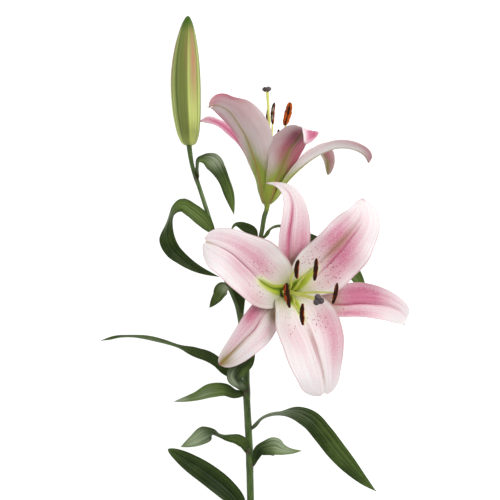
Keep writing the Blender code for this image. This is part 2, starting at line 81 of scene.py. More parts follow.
# Tepals, drawn upright at azimuth 0. "line" holds stations along the midrib: distance from the
# flower's axis, shift sideways, height, half width clockwise and anticlockwise, roll, cup.
# "tip": least half width clockwise and anticlockwise, how far the corners fall back, and the depth
# of the notch, as shares of the length; a notch below 0 is a small point.
# "ruffle": height, number of waves and phase. "throat": where the green groove ends, its half width,
# and how far beside the midrib its dark edge runs. "pale": how much painted light whitens the outer
# part of the back.
# The others are soft patches: place along, spread, place across, spread, strength. "blush", "lines",
# "olive" and "spots" are on the face; "back" (pink), "green" and the dark patches of painted shade,
# where the back lies in shadow, are on the back.
FRONT_TEPALS = {
    "petal_1": dict(
        azimuth=153, tip=(3, 3, 0.03, 0.022), ruffle=(1.1, 3.2, 0.3), throat=(0.55, 4.6, 0),
        line=[(4.6, 0, -2, 4.6, 4.6, 0, 52), (10, 2, 14, 12, 10, 0, 52), (22, 5.5, 27, 26, 19, 0, 50),
              (40, 6, 39.5, 32, 24, 0, 36), (60, 2, 48, 30.5, 24, 0, 24),
              (82, -2, 51.5, 20.5, 22, 0, 10), (97, -1.5, 49, 14, 17, 0, 0),
              (105, 0, 45, 9, 9.5, 0, 0)],
        blush=[(0.52, 0.18, -0.3, 0.3, 0.55), (0.76, 0.2, -0.5, 0.3, 0.45), (0.46, 0.12, 0.75, 0.3, 0.45),
               (0.66, 0.18, 0.2, 0.3, 0.45)],
        lines=[(0.7, 0.2, 0.0, 0.025, 1.0)], olive=[(0.97, 0.06, 0, 0.1, 0.6)],
        spots=[(0.5, 0.12, -0.35, 0.25, 1.2), (0.44, 0.1, 0.3, 0.24, 1.2)]),
    "petal_2": dict(
        azimuth=53, tip=(2, 2, 0.03, -0.01), ruffle=(1.6, 3.6, 1.9), throat=(0.44, 4.8, 2.4),
        line=[(4.6, 0, -2, 4.6, 4.6, 0, 52), (8, 0, 14, 10, 10, 0, 52), (14.5, 0.4, 24, 19, 18, 0, 50),
              (27, 1, 34, 28, 25, 0, 44), (45, 1.4, 43.5, 30.5, 24, 0, 34),
              (65, 0.6, 50.5, 28, 21, 0, 22), (84, 1, 52.5, 21.5, 15.8, 0, 10),
              (94.5, 4, 50, 14.4, 9, 0, 0), (101.5, 7.4, 46, 6.5, 3.5, 0, 0)],
        blush=[(0.62, 0.17, 0.05, 0.5, 0.85), (0.5, 0.2, -0.5, 0.4, 0.6), (0.66, 0.18, 0.6, 0.3, 0.5)],
        lines=[(0.52, 0.13, -0.2, 0.03, 1.2), (0.7, 0.1, -0.14, 0.025, 0.8)],
        olive=[(0.6, 0.16, 0.03, 0.14, 0.75)],
        spots=[(0.42, 0.12, 0.4, 0.3, 1.1), (0.43, 0.13, -0.4, 0.35, 1.2)]),
    "petal_3": dict(
        azimuth=285, tip=(2, 2, 0.02, 0.022), ruffle=(1.0, 3, 0.9), throat=(0.45, 3.4, -1.2),
        line=[(4.6, 0, -2, 4.6, 4.6, 0, 52), (6.5, -0.4, 14, 16, 12, 0, 52),
              (12, -0.5, 25, 25, 22, 0, 50), (24, 0, 34, 34, 29, 0, 42), (44, 1, 42, 33, 28.5, 0, 32),
              (60, 1.2, 45, 30, 22.5, 0, 22), (75, 0.8, 46, 24.5, 17, 0, 10),
              (86, 0, 44.5, 18, 12.5, 0, 0), (93, -0.4, 42, 10, 8, 0, 0)],
        blush=[(0.58, 0.24, 0.7, 0.35, 0.62), (0.5, 0.14, -0.45, 0.35, 0.3), (0.45, 0.1, 0.6, 0.4, 0.2)],
        lines=[(0.62, 0.15, 0.05, 0.022, 0.9), (0.62, 0.15, -0.045, 0.022, 0.7)],
        olive=[(0.55, 0.1, 0, 0.1, 0.25), (0.82, 0.14, 0.06, 0.04, 0.55)],
        spots=[(0.42, 0.11, 0.3, 0.32, 1.2), (0.4, 0.08, -0.45, 0.2, 0.8)]),
    "sepal_1": dict(
        azimuth=97, tip=(0.4, 0.4, 0, 0), ruffle=(0.5, 3, 0.2), throat=(0.3, 2.5, 0),
        line=[(6.4, 0, -2, 5, 5, 0, 42), (10, 0.8, 12, 8, 7.5, 0, 45), (22, 3.4, 25, 13, 10, 0, 42),
              (40, 4.6, 35, 18, 12.5, 0, 36), (56, 3.2, 39, 18, 12.5, 0, 30),
              (70, 0, 40, 14.5, 11, 0, 24), (82, -1.4, 39, 10.5, 9, 0, 16),
              (91, 0.6, 37, 7.5, 7.5, 0, 10), (97, 6, 33, 5, 5, 0, 5), (100.5, 16.5, 26, 2, 2, 0, 0)],
        blush=[(0.46, 0.25, -0.6, 0.45, 0.7), (0.6, 0.2, 0.15, 0.2, 1.0), (0.38, 0.14, 0.3, 0.6, 0.7),
               (0.55, 0.2, 0.75, 0.3, 0.25)],
        lines=[(0.6, 0.16, 0.1, 0.06, 0.8)], olive=[(0.3, 0.08, 0, 1, 0.6)], spots=[]),
    "sepal_2": dict(
        azimuth=353, tip=(2, 2, 0.02, 0), ruffle=(0.8, 3.5, 0.7), throat=(0.3, 2.5, 0),
        line=[(6.4, 0, -2, 5, 5, 0, 42), (9, -1.5, 12, 7.5, 8, 0, 45), (18, -4, 23, 9.5, 11, 0, 40),
              (30, -5.4, 32, 11, 15, 0, 36), (42, -4.6, 38, 11, 19, 0, 32),
              (55, -1.6, 42.5, 12, 20, 0, 28), (70, -0.2, 45.5, 13, 17, 0, 24),
              (85, -0.8, 46, 13, 12.5, 0, 16), (97, -4.5, 43.5, 11.5, 9.5, 0, 8),
              (104, -10, 40, 7.5, 7.5, 0, 0), (106, -16, 37, 4, 4, 0, 0)],
        blush=[(0.55, 0.22, 0.6, 0.5, 1.0), (0.55, 0.25, 0.1, 0.3, 0.7), (0.5, 0.2, -0.7, 0.4, 0.9)],
        lines=[(0.52, 0.16, -0.02, 0.07, 0.9)], olive=[(0.36, 0.08, 0, 0.8, 0.6)],
        spots=[(0.45, 0.06, -0.4, 0.3, 0.7)]),
    "sepal_3": dict(
        azimuth=220, tip=(0.6, 0.6, 0.01, 0), ruffle=(0.6, 2.6, 0.1), throat=(0.3, 2.5, 0),
        line=[(6.4, 0, -2, 5.4, 5.4, 0, 48), (10.5, -1.8, 12, 8, 8, 0, 45),
              (24, -4.5, 23, 14, 14, 0, 40), (36, -5, 29, 17.5, 17, 0, 32),
              (50, -1.6, 31.5, 18, 17, 0, 26), (64, -0.4, 31, 13.5, 15.5, 0, 18),
              (80, 1.5, 27, 8.5, 13, 0, 8), (88, 3, 24, 5.5, 9, 0, 0), (92.5, 3.8, 22, 3, 4, 0, 0)],
        blush=[(0.48, 0.15, -0.6, 0.5, 1.0), (0.75, 0.15, -0.5, 0.4, 0.4), (0.55, 0.2, 0.6, 0.3, 0.25)],
        lines=[(0.58, 0.12, 0.0, 0.07, 0.7)], spots=[],
        olive=[(1.0, 0.13, 0, 0.7, 1.2), (0.8, 0.15, 0, 0.14, 0.8), (0.36, 0.06, 0.6, 0.6, 0.8)]),
}
BACK_TEPALS = {
    "petal_1": dict(
        azimuth=53, tip=(0.3, 9.5, 0.03, 0), ruffle=(0.8, 2.6, 0.2),
        line=[(3, 0, -3.2, 3, 3, 0, 50), (6.2, 0, 1, 4.8, 6.5, 0, 58), (9.3, 0, 14, 7, 8.8, 0, 50),
              (15, 0, 31, 14, 14, 0, 48), (25, 1, 48, 21, 21, 0, 46), (34, 2, 61, 24.5, 25, 0, 44),
              (45, 2, 73, 25.5, 25, 5, 42), (57, 1, 85, 23.5, 20.5, 14, 38),
              (69, 0, 90.5, 14, 15, 24, 30), (78, 0, 91.5, 0.8, 12, 48, 20),
              (84, 0, 90.5, 0.4, 10, 76, 12)],
        back=[(0.8, 0.2, 0.5, 0.5, 0.45), (0.62, 0.28, -0.8, 0.45, 1.2), (0.98, 0.06, 0, 1, 0.7),
              (0.9, 0.1, 0.95, 0.2, 0.8)],
        painted_shade=[(0.6, 0.22, -0.75, 0.3, 0.28)], pale=0.3),
    "petal_2": dict(
        azimuth=125, tip=(1.5, 1.5, 0, 0), ruffle=(0.6, 2.6, 0.8),
        line=[(3, 0, -3.2, 3, 3, 0, 50), (6.2, 0, 1, 6.5, 6.5, 0, 58), (13, 0, 16, 9.5, 10, -4, 42),
              (26, 0, 37, 15, 17, -14, 40), (35, 0, 50, 19.5, 16, -18, 36),
              (42, 1.2, 57.5, 18, 13, -20, 32), (50, 2.8, 65.6, 14.5, 11, -20, 24),
              (57, 3.4, 68, 9.5, 9.5, -18, 12), (63.5, -1.8, 64, 5.5, 6.5, 0, 0),
              (66, -7, 57.8, 1.5, 1.5, 0, 0)],
        blush=[(0.88, 0.1, 0.35, 0.7, 1.3)], lines=[(0.87, 0.07, 0.6, 0.5, 0.75)],
        back=[(0.5, 0.34, 0.55, 0.6, 1.5), (0.68, 0.22, -0.1, 0.6, 1.1), (0.45, 0.1, -0.2, 0.3, 0.4)],
        painted_shade=[(0.73, 0.1, 0, 0.7, 0.65), (0.4, 0.3, 0.05, 0.25, 0.2)]),
    "petal_3": dict(
        azimuth=287, tip=(2, 2, 0.02, 0), ruffle=(0.4, 2.6, 0.8),
        line=[(3, 0, -3.2, 3, 3, 0, 50), (6.2, 0, 1, 6.5, 6.5, 0, 58), (13.5, 0, 16, 8.2, 8.2, 0, 42),
              (25, 0, 32, 13.5, 13.5, 0, 38), (37, 0, 47, 16, 16, 0, 38),
              (47, 0, 60, 15.5, 15.5, 0, 36), (55, 0, 71, 13, 13, 0, 30), (61.6, 0, 79, 3, 3, 0, 20)]),
    "sepal_1": dict(
        azimuth=170, tip=(4, 4, 0.03, 0), ruffle=(0.4, 2.6, 0.4),
        line=[(4, 0, -3.2, 3, 3, 0, 45), (8, 0, 0.5, 6, 6, 0, 50), (17, 0, 16, 10, 9, 0, 36),
              (30, 0, 30, 15, 15, 0, 42), (49, 0, 43.8, 19, 18, 0, 44), (64, 0, 49.2, 18, 15, -6, 40),
              (74, 0, 49, 16, 12, -14, 36), (82, 0, 46.8, 13, 8, -24, 32),
              (89, 0, 42.5, 10.5, 6.5, -30, 30), (92.5, 0, 36, 6, 6, -32, 30)],
        back=[(0.9, 0.16, -0.9, 0.35, 0.6), (0.97, 0.06, 0, 1, 0.6), (0.75, 0.2, 0.9, 0.2, 0.4),
              (0.6, 0.2, -0.9, 0.2, 0.25)], pale=1),
    "sepal_2": dict(
        azimuth=218, tip=(0.5, 0.5, 0, 0), ruffle=(0.4, 2.6, 0.4),
        line=[(4, 0, -3.2, 3, 3, 0, 45), (8, 0, 0.5, 6, 6, 0, 50), (17, 0, 14, 7, 7, 0, 34),
              (30, 0, 26, 8.5, 4, 0, 24), (48, 0, 38, 12, 4.5, 0, 20), (64, 0, 40.5, 14, 9, 0, 20),
              (71.5, 0, 32, 10.5, 7, 0, 10), (72.8, 0, 17.5, 3, 3, 0, 0)],
        back=[(0.75, 0.25, -0.3, 0.6, 1.0)], green=[(0.95, 0.1, 0.1, 0.4, 1.0)]),
    "sepal_3": dict(
        azimuth=348, tip=(2, 2, 0.05, 0), ruffle=(0.7, 3, 0.4),
        line=[(4, 0, -3.2, 3, 3, 0, 45), (5.4, 0, 0.5, 5.6, 5.6, 0, 50), (8.2, 0, 18, 6.4, 6.2, 0, 34),
              (17.2, 0, 37, 9.5, 9.5, 0, 34), (26.5, 0, 52, 11.5, 8.5, -8, 28),
              (36.5, 0, 62.5, 9.5, 5, -22, 16), (47, 0, 69.5, 5, 4.4, -36, 8),
              (56, 0, 72, 3.4, 4.2, -40, 4), (62, 0, 70.5, 2, 2, -40, 0)],
        blush=[(0.65, 0.4, 0, 1.2, 1.2)], lines=[(0.6, 0.3, -0.1, 0.2, 0.35)],
        back=[(0.6, 0.4, 0.2, 1.0, 1.2)]),
}

# What a tepal has where its table doesn't say.
PLAIN_BLUSH = [(0.6, 0.3, 0, 0.8, 0.6)]
PLAIN_SPOTS = [(0.4, 0.1, 0, 0.6, 1)]

# Anthers: both ends, radius, and the azimuth that the filament starts at.
FRONT_ANTHERS = [
    ((36.9, 38.9, 134), (35.9, 22.3, 124), 2.1, 95), ((53.3, 39.9, 123), (51.7, 20.4, 121), 2.1, 40),
    ((26.2, 17.5, 127.5), (26.9, 3.5, 130.5), 2.1, 170), ((26.9, 19, 132), (29.4, -2.4, 140), 2.2, 230),
    ((40.8, 1.3, 130), (41.1, -17.7, 126), 2.1, 300), ((71.8, 18.6, 114), (68.2, 0.2, 110), 2.1, 350)]
BACK_ANTHERS = [
    ((17.3, 178.2, 78), (15.9, 158.7, 77), 1.8, 100), ((32, 178.5, 75), (27, 157.7, 75), 3.2, 150),
    ((12.5, 177, 44), (11, 159, 44), 1.8, 290), ((-3, 159, 67), (-4, 140, 65), 1.8, 45),
    ((-2, 160, 46), (-1, 141, 45), 1.8, 345), ((22, 157, 41), (21, 138, 40), 1.8, 220)]
TURNED_ANTHERS = (3, 4)             # their pollen shows on the other flank
OPEN_ANTHER = "back_anther_2"       # pollen all round
PALE_ANTHER = "back_anther_1"       # two pale windows on one side
# Radius of the ovary and the style, at shares of the way up.
STYLE_RADIUS = [(0, 1.9), (0.04, 2.2), (0.2, 2.2), (0.26, 1.65), (0.6, 1.55), (0.9, 1.7), (1, 2.3)]

# The two open flowers. "base" is where the tepals start, "axis" the way the flower looks and "up" the
# side that azimuth 90 is on. "rings" are those of the stalk. "pistil" is its line from the base, with
# the axis upwards, and the two shares are the size of its style and stigma beside the front one's.
FLOWERS = {
    "front": dict(
        base=(27, 9.5, 50), axis=(0.34, -0.05, 0.94), up=(0, 1, 0), stalk=STALK_TO_FRONT, rings=60,
        tepals=FRONT_TEPALS, anthers=FRONT_ANTHERS, style_share=1, stigma_share=1,
        pistil=[(0, 0, -0.5), (-0.2, 0.1, 22), (-1.5, 0.3, 48), (-5.2, -0.3, 94)]),
    "back": dict(
        base=(11.5, 92.5, 45), axis=(0, 0.985, 0.174), up=(0, 0, 1), stalk=STALK_TO_BACK, rings=70,
        tepals=BACK_TEPALS, anthers=BACK_ANTHERS, style_share=0.68, stigma_share=0.86,
        pistil=[(0, 0, -0.5), (-0.6, 0, 22), (-1.9, 0, 60), (0.1, 0, 100)]),
}

# Leaves. "line" holds stations along the midrib: x, y, z, half width, roll, cup. "light", "pale" and
# "dark" are soft patches as on the tepals: "light" is partly paler green and partly painted light,
# "pale" is painted sheen and highlight, and "dark" is partly darker green and partly painted shade in
# folds. "sharp" is how sharply the leaf narrows to its tip.
LEAVES = {
    "leaf_1": dict(
        line=[(-51.9, 114, 30.6, 3, -60, 20), (-52, 122, 36, 4, -70, 20),
              (-50.3, 129, 41, 5.5, -64, 15), (-44.3, 130, 44, 6.5, -34, 15),
              (-38, 127, 45, 8.2, 0, 15), (-32.6, 120, 42, 6.8, 0, 15), (-27.6, 110.5, 40, 5.2, 0, 15),
              (-23, 97.5, 37, 4.6, 0, 15), (-18.7, 79.7, 33, 1, 0, 10)],
        light=[(0.3, 0.12, -0.3, 0.6, 0.9), (0.85, 0.25, 0.3, 0.8, 0.9)],
        pale=[(0.42, 0.08, 0.35, 0.9, 0.95)]),
    "leaf_2": dict(
        line=[(-39.3, 65.5, 38.3, 3.4, 0, 20), (-47.6, 75.4, 43, 6.9, 0, 15),
              (-57.7, 83.6, 46, 6.7, 0, 15), (-65.4, 88, 47, 6.6, -22, 15),
              (-71.6, 85, 47, 6.4, -55, 15), (-75.5, 79.8, 46, 6.5, -76, 15),
              (-78.2, 73.1, 43, 6.5, -70, 15), (-80, 64.3, 38, 6.6, -34, 15),
              (-79.8, 56.3, 34, 7.6, -6, 15), (-75.6, 47.4, 31, 7.4, 0, 15),
              (-66, 38.5, 29, 5.8, 0, 15), (-56, 31.8, 28, 4.3, 0, 15), (-32.7, 22.5, 30, 1, 0, 10)],
        light=[(0.15, 0.2, 0, 1, 0.75), (0.3, 0.06, 0, 1, 0.6)], pale=[(0.44, 0.08, -0.6, 0.7, 0.2)],
        dark=[(0.75, 0.25, 0, 1, 0.7)]),
    "leaf_3": dict(
        line=[(2.2, 58, 44.3, 1.5, 0, 20), (-1, 63.5, 46, 4, 0, 20), (-9, 68, 46, 4.2, 0, 20),
              (-17, 70.2, 42, 2, 40, 20), (-21.3, 65.2, 38, 1, 0, 10)],
        light=[(1, 0.18, 0, 1, 1)], dark=[(0.4, 0.3, 0, 1, 0.4)]),
    "leaf_4": dict(
        line=[(10.5, 60.2, 44.5, 1.5, 0, 20), (13.3, 65.2, 44.5, 3, 70, 20), (19.7, 69, 45, 4, 75, 20),
              (27, 69, 44, 4, 75, 20), (39, 65.2, 42, 4, 60, 20), (50.8, 58.5, 38, 5, 30, 20),
              (73, 44.5, 33, 6, 0, 15), (92.5, 24.5, 28, 6, 0, 15), (104.5, 2, 26, 1, 0, 10)],
        light=[(0.12, 0.2, 0, 1, 0.6), (0.85, 0.15, 0, 1, 0.7)]),
    "leaf_5": dict(
        line=[(-24.9, 14.6, 36.4, 3, 0, 20), (-28.5, 12.5, 37, 6, 0, 20), (-33.5, 4.5, 34, 5, 0, 20),
              (-41.2, -5.9, 30, 1, 0, 10)],
        light=[(0.5, 0.4, 0, 1, 0.8)], pale=[(0.14, 0.2, 0.3, 0.8, 1.1)]),
    "leaf_6": dict(
        line=[(-10.1, -66, 27.3, 2.5, 0, 20), (-17.8, -67, 31, 4, 0, 20), (-26, -63.3, 34, 4.5, 0, 20),
              (-33.4, -56.5, 34, 5, 20, 20), (-43.5, -50.5, 31, 5.2, 20, 20),
              (-51.8, -48, 28, 4.8, 20, 20), (-67.6, -43, 24, 4.5, 66, 20),
              (-85.3, -38, 20, 4.5, 70, 20), (-104, -34, 16, 4, 70, 20),
              (-122.8, -33.5, 12, 3, 70, 20), (-142.6, -37.3, 9, 1, 0, 10)],
        light=[(0.6, 0.3, 0, 1, 0.3)], pale=[(0.66, 0.12, 0.3, 0.8, 0.2)]),
    "leaf_7": dict(
        line=[(-7.8, -82, 27.3, 2.5, 0, 20), (-13.4, -76.4, 34, 4.4, 0, 20),
              (-17.8, -68.5, 42, 7.4, 0, 24), (-13.6, -59.6, 49, 8.2, 10, 24),
              (-6.5, -53, 53, 6.8, 20, 20), (0.6, -45, 55, 2, 20, 10)],
        light=[(0.6, 0.2, -0.7, 0.4, 0.7)],
        pale=[(0.38, 0.14, 0.5, 0.4, 1.1), (0.2, 0.08, -0.3, 0.5, 0.5)],
        dark=[(0.5, 0.3, -0.2, 0.3, 0.7), (0.85, 0.1, 0.4, 0.8, 0.3)]),
    "leaf_8": dict(
        line=[(-9.7, -85, 23.5, 2.5, 0, 20), (-18, -85.5, 26, 4.2, 0, 20),
              (-27, -81.4, 29, 5.8, 0, 20), (-39, -81.8, 30, 6.7, 0, 20), (-54.6, -88, 26, 4, 0, 20),
              (-74, -93, 22, 1, 0, 10)],
        light=[(0.6, 0.3, 0.1, 1.2, 1.2), (0.6, 0.25, 0, 1, 1.2)],
        pale=[(0.6, 0.16, 0.2, 0.7, 0.5), (0.92, 0.1, 0, 1, 1.1)], dark=[(0.2, 0.12, -0.4, 0.7, 0.6)]),
    "leaf_9": dict(
        line=[(-0.8, -116.5, 21, 1.8, 20, 20), (4.2, -109.7, 26, 4, 68, 20),
              (12.6, -104.3, 30, 6, 72, 20), (25.4, -101.8, 33, 7, 66, 20), (38, -102, 34, 8, 35, 15),
              (50.5, -108, 33, 9, 5, 15), (63, -121.8, 29, 9.4, 0, 15), (75, -137.5, 23, 9.2, 0, 15),
              (87.2, -152, 17, 7.8, 0, 15), (100.5, -166.2, 12, 4.5, 0, 15),
              (113.3, -177.8, 8, 1, 0, 10)],
        light=[(0.75, 0.3, 0.5, 0.7, 0.45)], pale=[(0.2, 0.13, 0, 1, 0.6)],
        dark=[(0.45, 0.1, -0.5, 0.7, 0.5)]),
    "leaf_10": dict(
        line=[(-6.8, -139, 18.6, 2.4, 0, 20), (-9.5, -131.5, 23, 5.2, -10, 20),
              (-15, -127, 26, 5.8, -25, 20), (-23, -125, 29, 5.2, -45, 20),
              (-31.6, -122.7, 31, 5.5, -65, 20), (-38.9, -119.8, 33, 6.5, -45, 15),
              (-45.3, -122, 33, 8, 0, 15), (-54.6, -128, 29, 6, 0, 15), (-67.8, -134.7, 23, 1, 0, 10)],
        light=[(0.3, 0.2, 0, 1, 0.5), (0.85, 0.16, 0, 1, 1.2)], pale=[(0.82, 0.16, 0, 1.1, 1.0)],
        dark=[(0.64, 0.05, 0.4, 0.8, 0.7)]),
    "leaf_11": dict(
        line=[(-0.8, -152, 16.5, 1.4, 0, 20), (1.2, -145, 20, 3.4, 0, 20), (4.5, -138, 24, 5.2, 0, 20),
              (11.5, -134.9, 27, 7.2, 0, 20), (19, -133.8, 28, 8.8, 0, 20),
              (25.5, -136.4, 28, 5.4, 0, 20), (32.5, -138, 27.5, 3, 0, 20),
              (43.3, -137.9, 26, 1, 0, 10)],
        light=[(0.78, 0.25, 0, 1.2, 1.2)],
        pale=[(0.76, 0.2, 0.2, 0.9, 0.9), (0.62, 0.08, 0.85, 0.3, 0.8)],
        dark=[(0.28, 0.16, -0.4, 1, 1.1)]),
    "leaf_12": dict(
        line=[(-7.5, -210.2, 11.5, 1.6, 0, 20), (-11.6, -198, 15, 4.3, 0, 20),
              (-15.2, -186.9, 17, 7.5, 0, 20), (-26.7, -173.8, 19, 9.8, 0, 20),
              (-41.5, -161.8, 19, 10.2, 0, 20), (-58.3, -151, 16, 8.6, 0, 18),
              (-70, -144, 13.5, 6, 0, 12), (-80.4, -138.4, 11, 1, 0, 10)],
        light=[(0.5, 0.4, -0.7, 0.2, 0.3)], dark=[(0.5, 0.5, 0, 1, 0.8)], sharp=0.6),
    "leaf_13": dict(
        line=[(-11.4, -8, 36.8, 1.5, 0, 20), (-12.5, 0, 39.5, 3.5, 0, 20), (-15.5, 9, 41, 4, 0, 20),
              (-19, 20, 42, 1, 0, 10)],
        dark=[(0.5, 0.5, 0, 1, 0.6)]),
}

# Bud: its two ends, and its radius at shares of the way.
BUD_BASE = (-60.4, 143.4, 16.6)
BUD_TIP = (-61.8, 265.4, 10.2)
BUD_BOW = -2.7       # how far its middle is bowed sideways; below 0 is to the left
KEEL_AZIMUTH = 98    # where the first of its three keels runs
BUD_RADIUS = [(0, 3.4), (0.02, 6.4), (0.06, 8.8), (0.18, 12), (0.35, 13.7), (0.52, 13.8), (0.7, 11.8),
              (0.85, 8.2), (0.95, 4.4), (1, 1.2)]

# Rows along and columns across a sheet, and how sharply it narrows to its tip.
TEPAL_GRID = (84, 45)
LEAF_GRID = (90, 25)
TEPAL_SHARP = 0.5
LEAF_SHARP = 0.9
LEAST = 0.4          # least half width anywhere
LEAF_TIP = (LEAST, LEAST, 0, 0)
LEAF_SHARE = 0.9     # a leaf's thickness as a share of a tepal's
FINE_STEPS = 400     # steps that a midrib's length is measured in

# Sides and rings of the round pieces.
STEM_SIDES, STEM_RINGS = 24, 150
STALK_SIDES = 20
FILAMENT_SIDES, FILAMENT_RINGS = 12, 40
STYLE_SIDES, STYLE_RINGS = 16, 60
BUD_SIDES, BUD_RINGS = 144, 96
ANTHER_SIDES, ANTHER_RINGS = 32, 40
STIGMA_SIDES, STIGMA_RINGS = 60, 32
WELD = 0.005 * MM    # points closer than this become one
AT_ORIGIN = Matrix.Identity(4)

# How deep red, green and blue light goes into each living tissue, in metres.
PETAL_DEPTHS = (0.0016, 0.0009, 0.0009)
LEAF_DEPTHS = (0.0006, 0.0012, 0.0004)
STEM_DEPTHS = (0.0008, 0.0014, 0.0005)
BUD_DEPTHS = (0.0012, 0.0012, 0.0006)

# Stage, in metres. A lamp has its place and its width, and all of them point at one place.
FLOOR_WIDTH = 8
FLOOR_GAP = 0.0004   # below the lowest point of the flower
FLOOR_GLOW = 0.95
LAMPS = {"key": ((0.85, 0.6, 1.25), 1.0), "fill": ((-0.9, 0.1, 1.1), 1.3)}
LIT_PLACE = (0, 0.03, 0.03)
CAMERA_PLACE = (-0.004, 0.047)
SENSOR_WIDTH = 36    # millimetres


def srgb(code):
    """Linear colour of a #rrggbb code."""
    channels = [int(code[i:i + 2], 16) / 255 for i in (1, 3, 5)]
    return tuple(c / 12.92 if c <= 0.04045 else ((c + 0.055) / 1.055) ** 2.4 for c in channels)


def shaded(tone, share):
    """A colour made darker or lighter."""
    return [min(1, share * channel) for channel in tone]


def colour(name, code, text):
    return bpy.props.FloatVectorProperty(
        name=name, description=text, subtype="COLOR", size=3, min=0, max=1, default=srgb(code))


def amount(name, value, text, **limits):
    return bpy.props.FloatProperty(name=name, description=text, default=value, **limits)


def millimetres(name, value, text):
    return amount(name, value * MM, text, unit="LENGTH", min=0)


class LilySizes(bpy.types.PropertyGroup):
    sheet: millimetres("Sheet thickness", 1.0, "Thickness of a petal or leaf at its midrib")
    thin: amount("Edge share", 0.3, "Thickness at the edge as a share of the midrib's",
                 min=0, max=1, subtype="FACTOR")
    groove: millimetres("Midrib groove", 1.0, "Depth of the groove along a petal's midrib")
    leaf_groove: millimetres("Leaf groove", 0.7, "Depth of the groove along a leaf's midrib")
    filament: millimetres("Filament radius", 1.15, "Radius of a filament at its foot")
    stigma: millimetres("Stigma radius", 4.6, "Mean radius of the three-lobed stigma")
    grain: millimetres("Stem grain", 0.55, "Size of the facets that the stem is skinned with")


class LilyColours(bpy.types.PropertyGroup):
    white: colour("Petal white", "#f8f2f1", "Face of a petal where it has no blush")
    blush: colour("Petal blush", "#d67c9c", "Pink of a petal's face")
    rose: colour("Midrib rose", "#b03a64", "Midrib and streaks of a petal's face")
    spots: colour("Spots", "#bb3a6c", "Spots near the throat")
    throat: colour("Throat", "#5f8a1c", "Green grooves in the throat")
    lime: colour("Lime", "#c6d44a", "Outer end of the green grooves")
    cream: colour("Cream", "#eeedcd", "Around the green of the throat")
    back: colour("Petal back", "#cfbab8", "Back of a petal")
    back_blush: colour("Back blush", "#bf667a", "Pink on a petal's back")
    back_rib: colour("Back midrib", "#9c8440", "Midrib on a petal's back")
    back_foot: colour("Back foot", "#93a437", "Green foot of a petal's back")
    leaf: colour("Leaf", "#192a0a", "Upper side of a leaf")
    # Leaf light is also laid on as painted light in the light patches.
    leaf_light: colour("Leaf light", "#6c8440", "Veins and paler parts of a leaf")
    # Leaf shine is painted sheen: the pale grey-green of highlights on the glossy leaves.
    leaf_pale: colour("Leaf shine", "#a9b795", "Palest patches of a leaf")
    leaf_back: colour("Leaf back", "#6d8353", "Under side of a leaf")
    stem: colour("Stem", "#5c7934", "Stem and stalks")
    # Stem dark is also laid on as painted shade over the stem's flank that faces -X.
    stem_dark: colour("Stem dark", "#3b5120", "Streaks of the stem")
    # Axil purple is also laid on petal backs as painted shade.
    axil: colour("Axil", "#45202a", "Dark purple where a leaf joins the stem")
    bud: colour("Bud", "#98a058", "Bud")
    bud_dark: colour("Bud shade", "#74803a", "Darker streaks of the bud")
    # Bud light is partly the paler flank beside a keel and partly painted light on that side.
    bud_light: colour("Bud light", "#cbd87c", "Pale flank beside a keel of the bud")
    bud_blush: colour("Bud blush", "#c4806c", "Pink flank of the bud")
    anther: colour("Anther", "#2a1007", "Dark skin of an anther")
    pollen: colour("Pollen", "#c05812", "Orange pollen along an anther's flanks")
    filament: colour("Filament", "#e0e56a", "Filaments and style")
    stigma: colour("Stigma", "#594a4d", "Stigma")


class LilyStage(bpy.types.PropertyGroup):
    height: amount("Camera height", 1.5, "Height of the camera above the floor", unit="LENGTH")
    lens: amount("Lens", 115.2, "Focal length in millimetres", unit="CAMERA")
    key: amount("Key light", 16.5, "Power of the large soft light", unit="POWER")
    fill: amount("Fill light", 4, "Power of the soft light on the other side", unit="POWER")
    sky: amount("Ambient", 0.36, "Strength of the light from all round")
    floor: colour("Floor", "#8c8c8c", "Floor, on top of its own glow")


# ---------------------------------------------------------------- curves and sheets


def through(knots, values, at):
    """Values of a smooth curve that passes through the knots."""
    knots, values, at = np.asarray(knots, float), np.asarray(values, float), np.asarray(at, float)
    step = np.diff(knots)[:, None]
    chord = np.diff(values, axis=0) / step
    slope = np.empty_like(values)
    slope[1:-1] = (chord[:-1] * step[1:] + chord[1:] * step[:-1]) / (step[1:] + step[:-1])
    slope[0] = 1.5 * chord[0] - 0.5 * slope[1]
    slope[-1] = 1.5 * chord[-1] - 0.5 * slope[-2]
    i = np.clip(np.searchsorted(knots, at, side="right") - 1, 0, len(knots) - 2)
    h = step[i]
    t = (at - knots[i])[:, None] / h
    return ((2 * t**3 - 3 * t**2 + 1) * values[i] + (t**3 - 2 * t**2 + t) * h * slope[i]
            + (3 * t**2 - 2 * t**3) * values[i + 1] + (t**3 - t**2) * h * slope[i + 1])


def unit(a):
    return a / np.maximum(np.linalg.norm(a, axis=-1, keepdims=True), 1e-9)


def ease(x, low, high):
    """0 below low, 1 above high, smooth between."""
    t = np.clip((x - low) / (high - low), 0, 1)
    return t * t * (3 - 2 * t)


def hill(x, centre, spread):
    """1 at the centre, falling off evenly on both sides."""
    return np.exp(-(((x - centre) / spread) ** 2))


def painted(*values):
    """Up to four values at each point, side by side, with noughts for those not given."""
    blanks = [np.zeros_like(values[0])] * (4 - len(values))
    return np.stack([*values, *blanks], -1)


def path_lengths(points):
    return np.concatenate([[0], np.cumsum(np.linalg.norm(np.diff(points[:, :3], axis=0), axis=1))])


def smooth_path(points, count):
    """Evenly spaced points of the smooth curve through the given ones."""
    points = np.asarray(points, float)
    knots = path_lengths(points)
    return through(knots, points, np.linspace(0, knots[-1], count))


def turn_to(axis, up):
    """Rotation whose columns are azimuth 0, azimuth 90 and the axis."""
    axis, up = unit(np.asarray(axis, float)), np.asarray(up, float)
    up = unit(up - axis * (axis @ up))
    return np.stack([np.cross(up, axis), up, axis], 1)


def tip_taper(along, sharp):
    """Share of a sheet's full width that is left on the way to its tip."""
    return np.maximum(1 - along**3, 1e-6) ** sharp


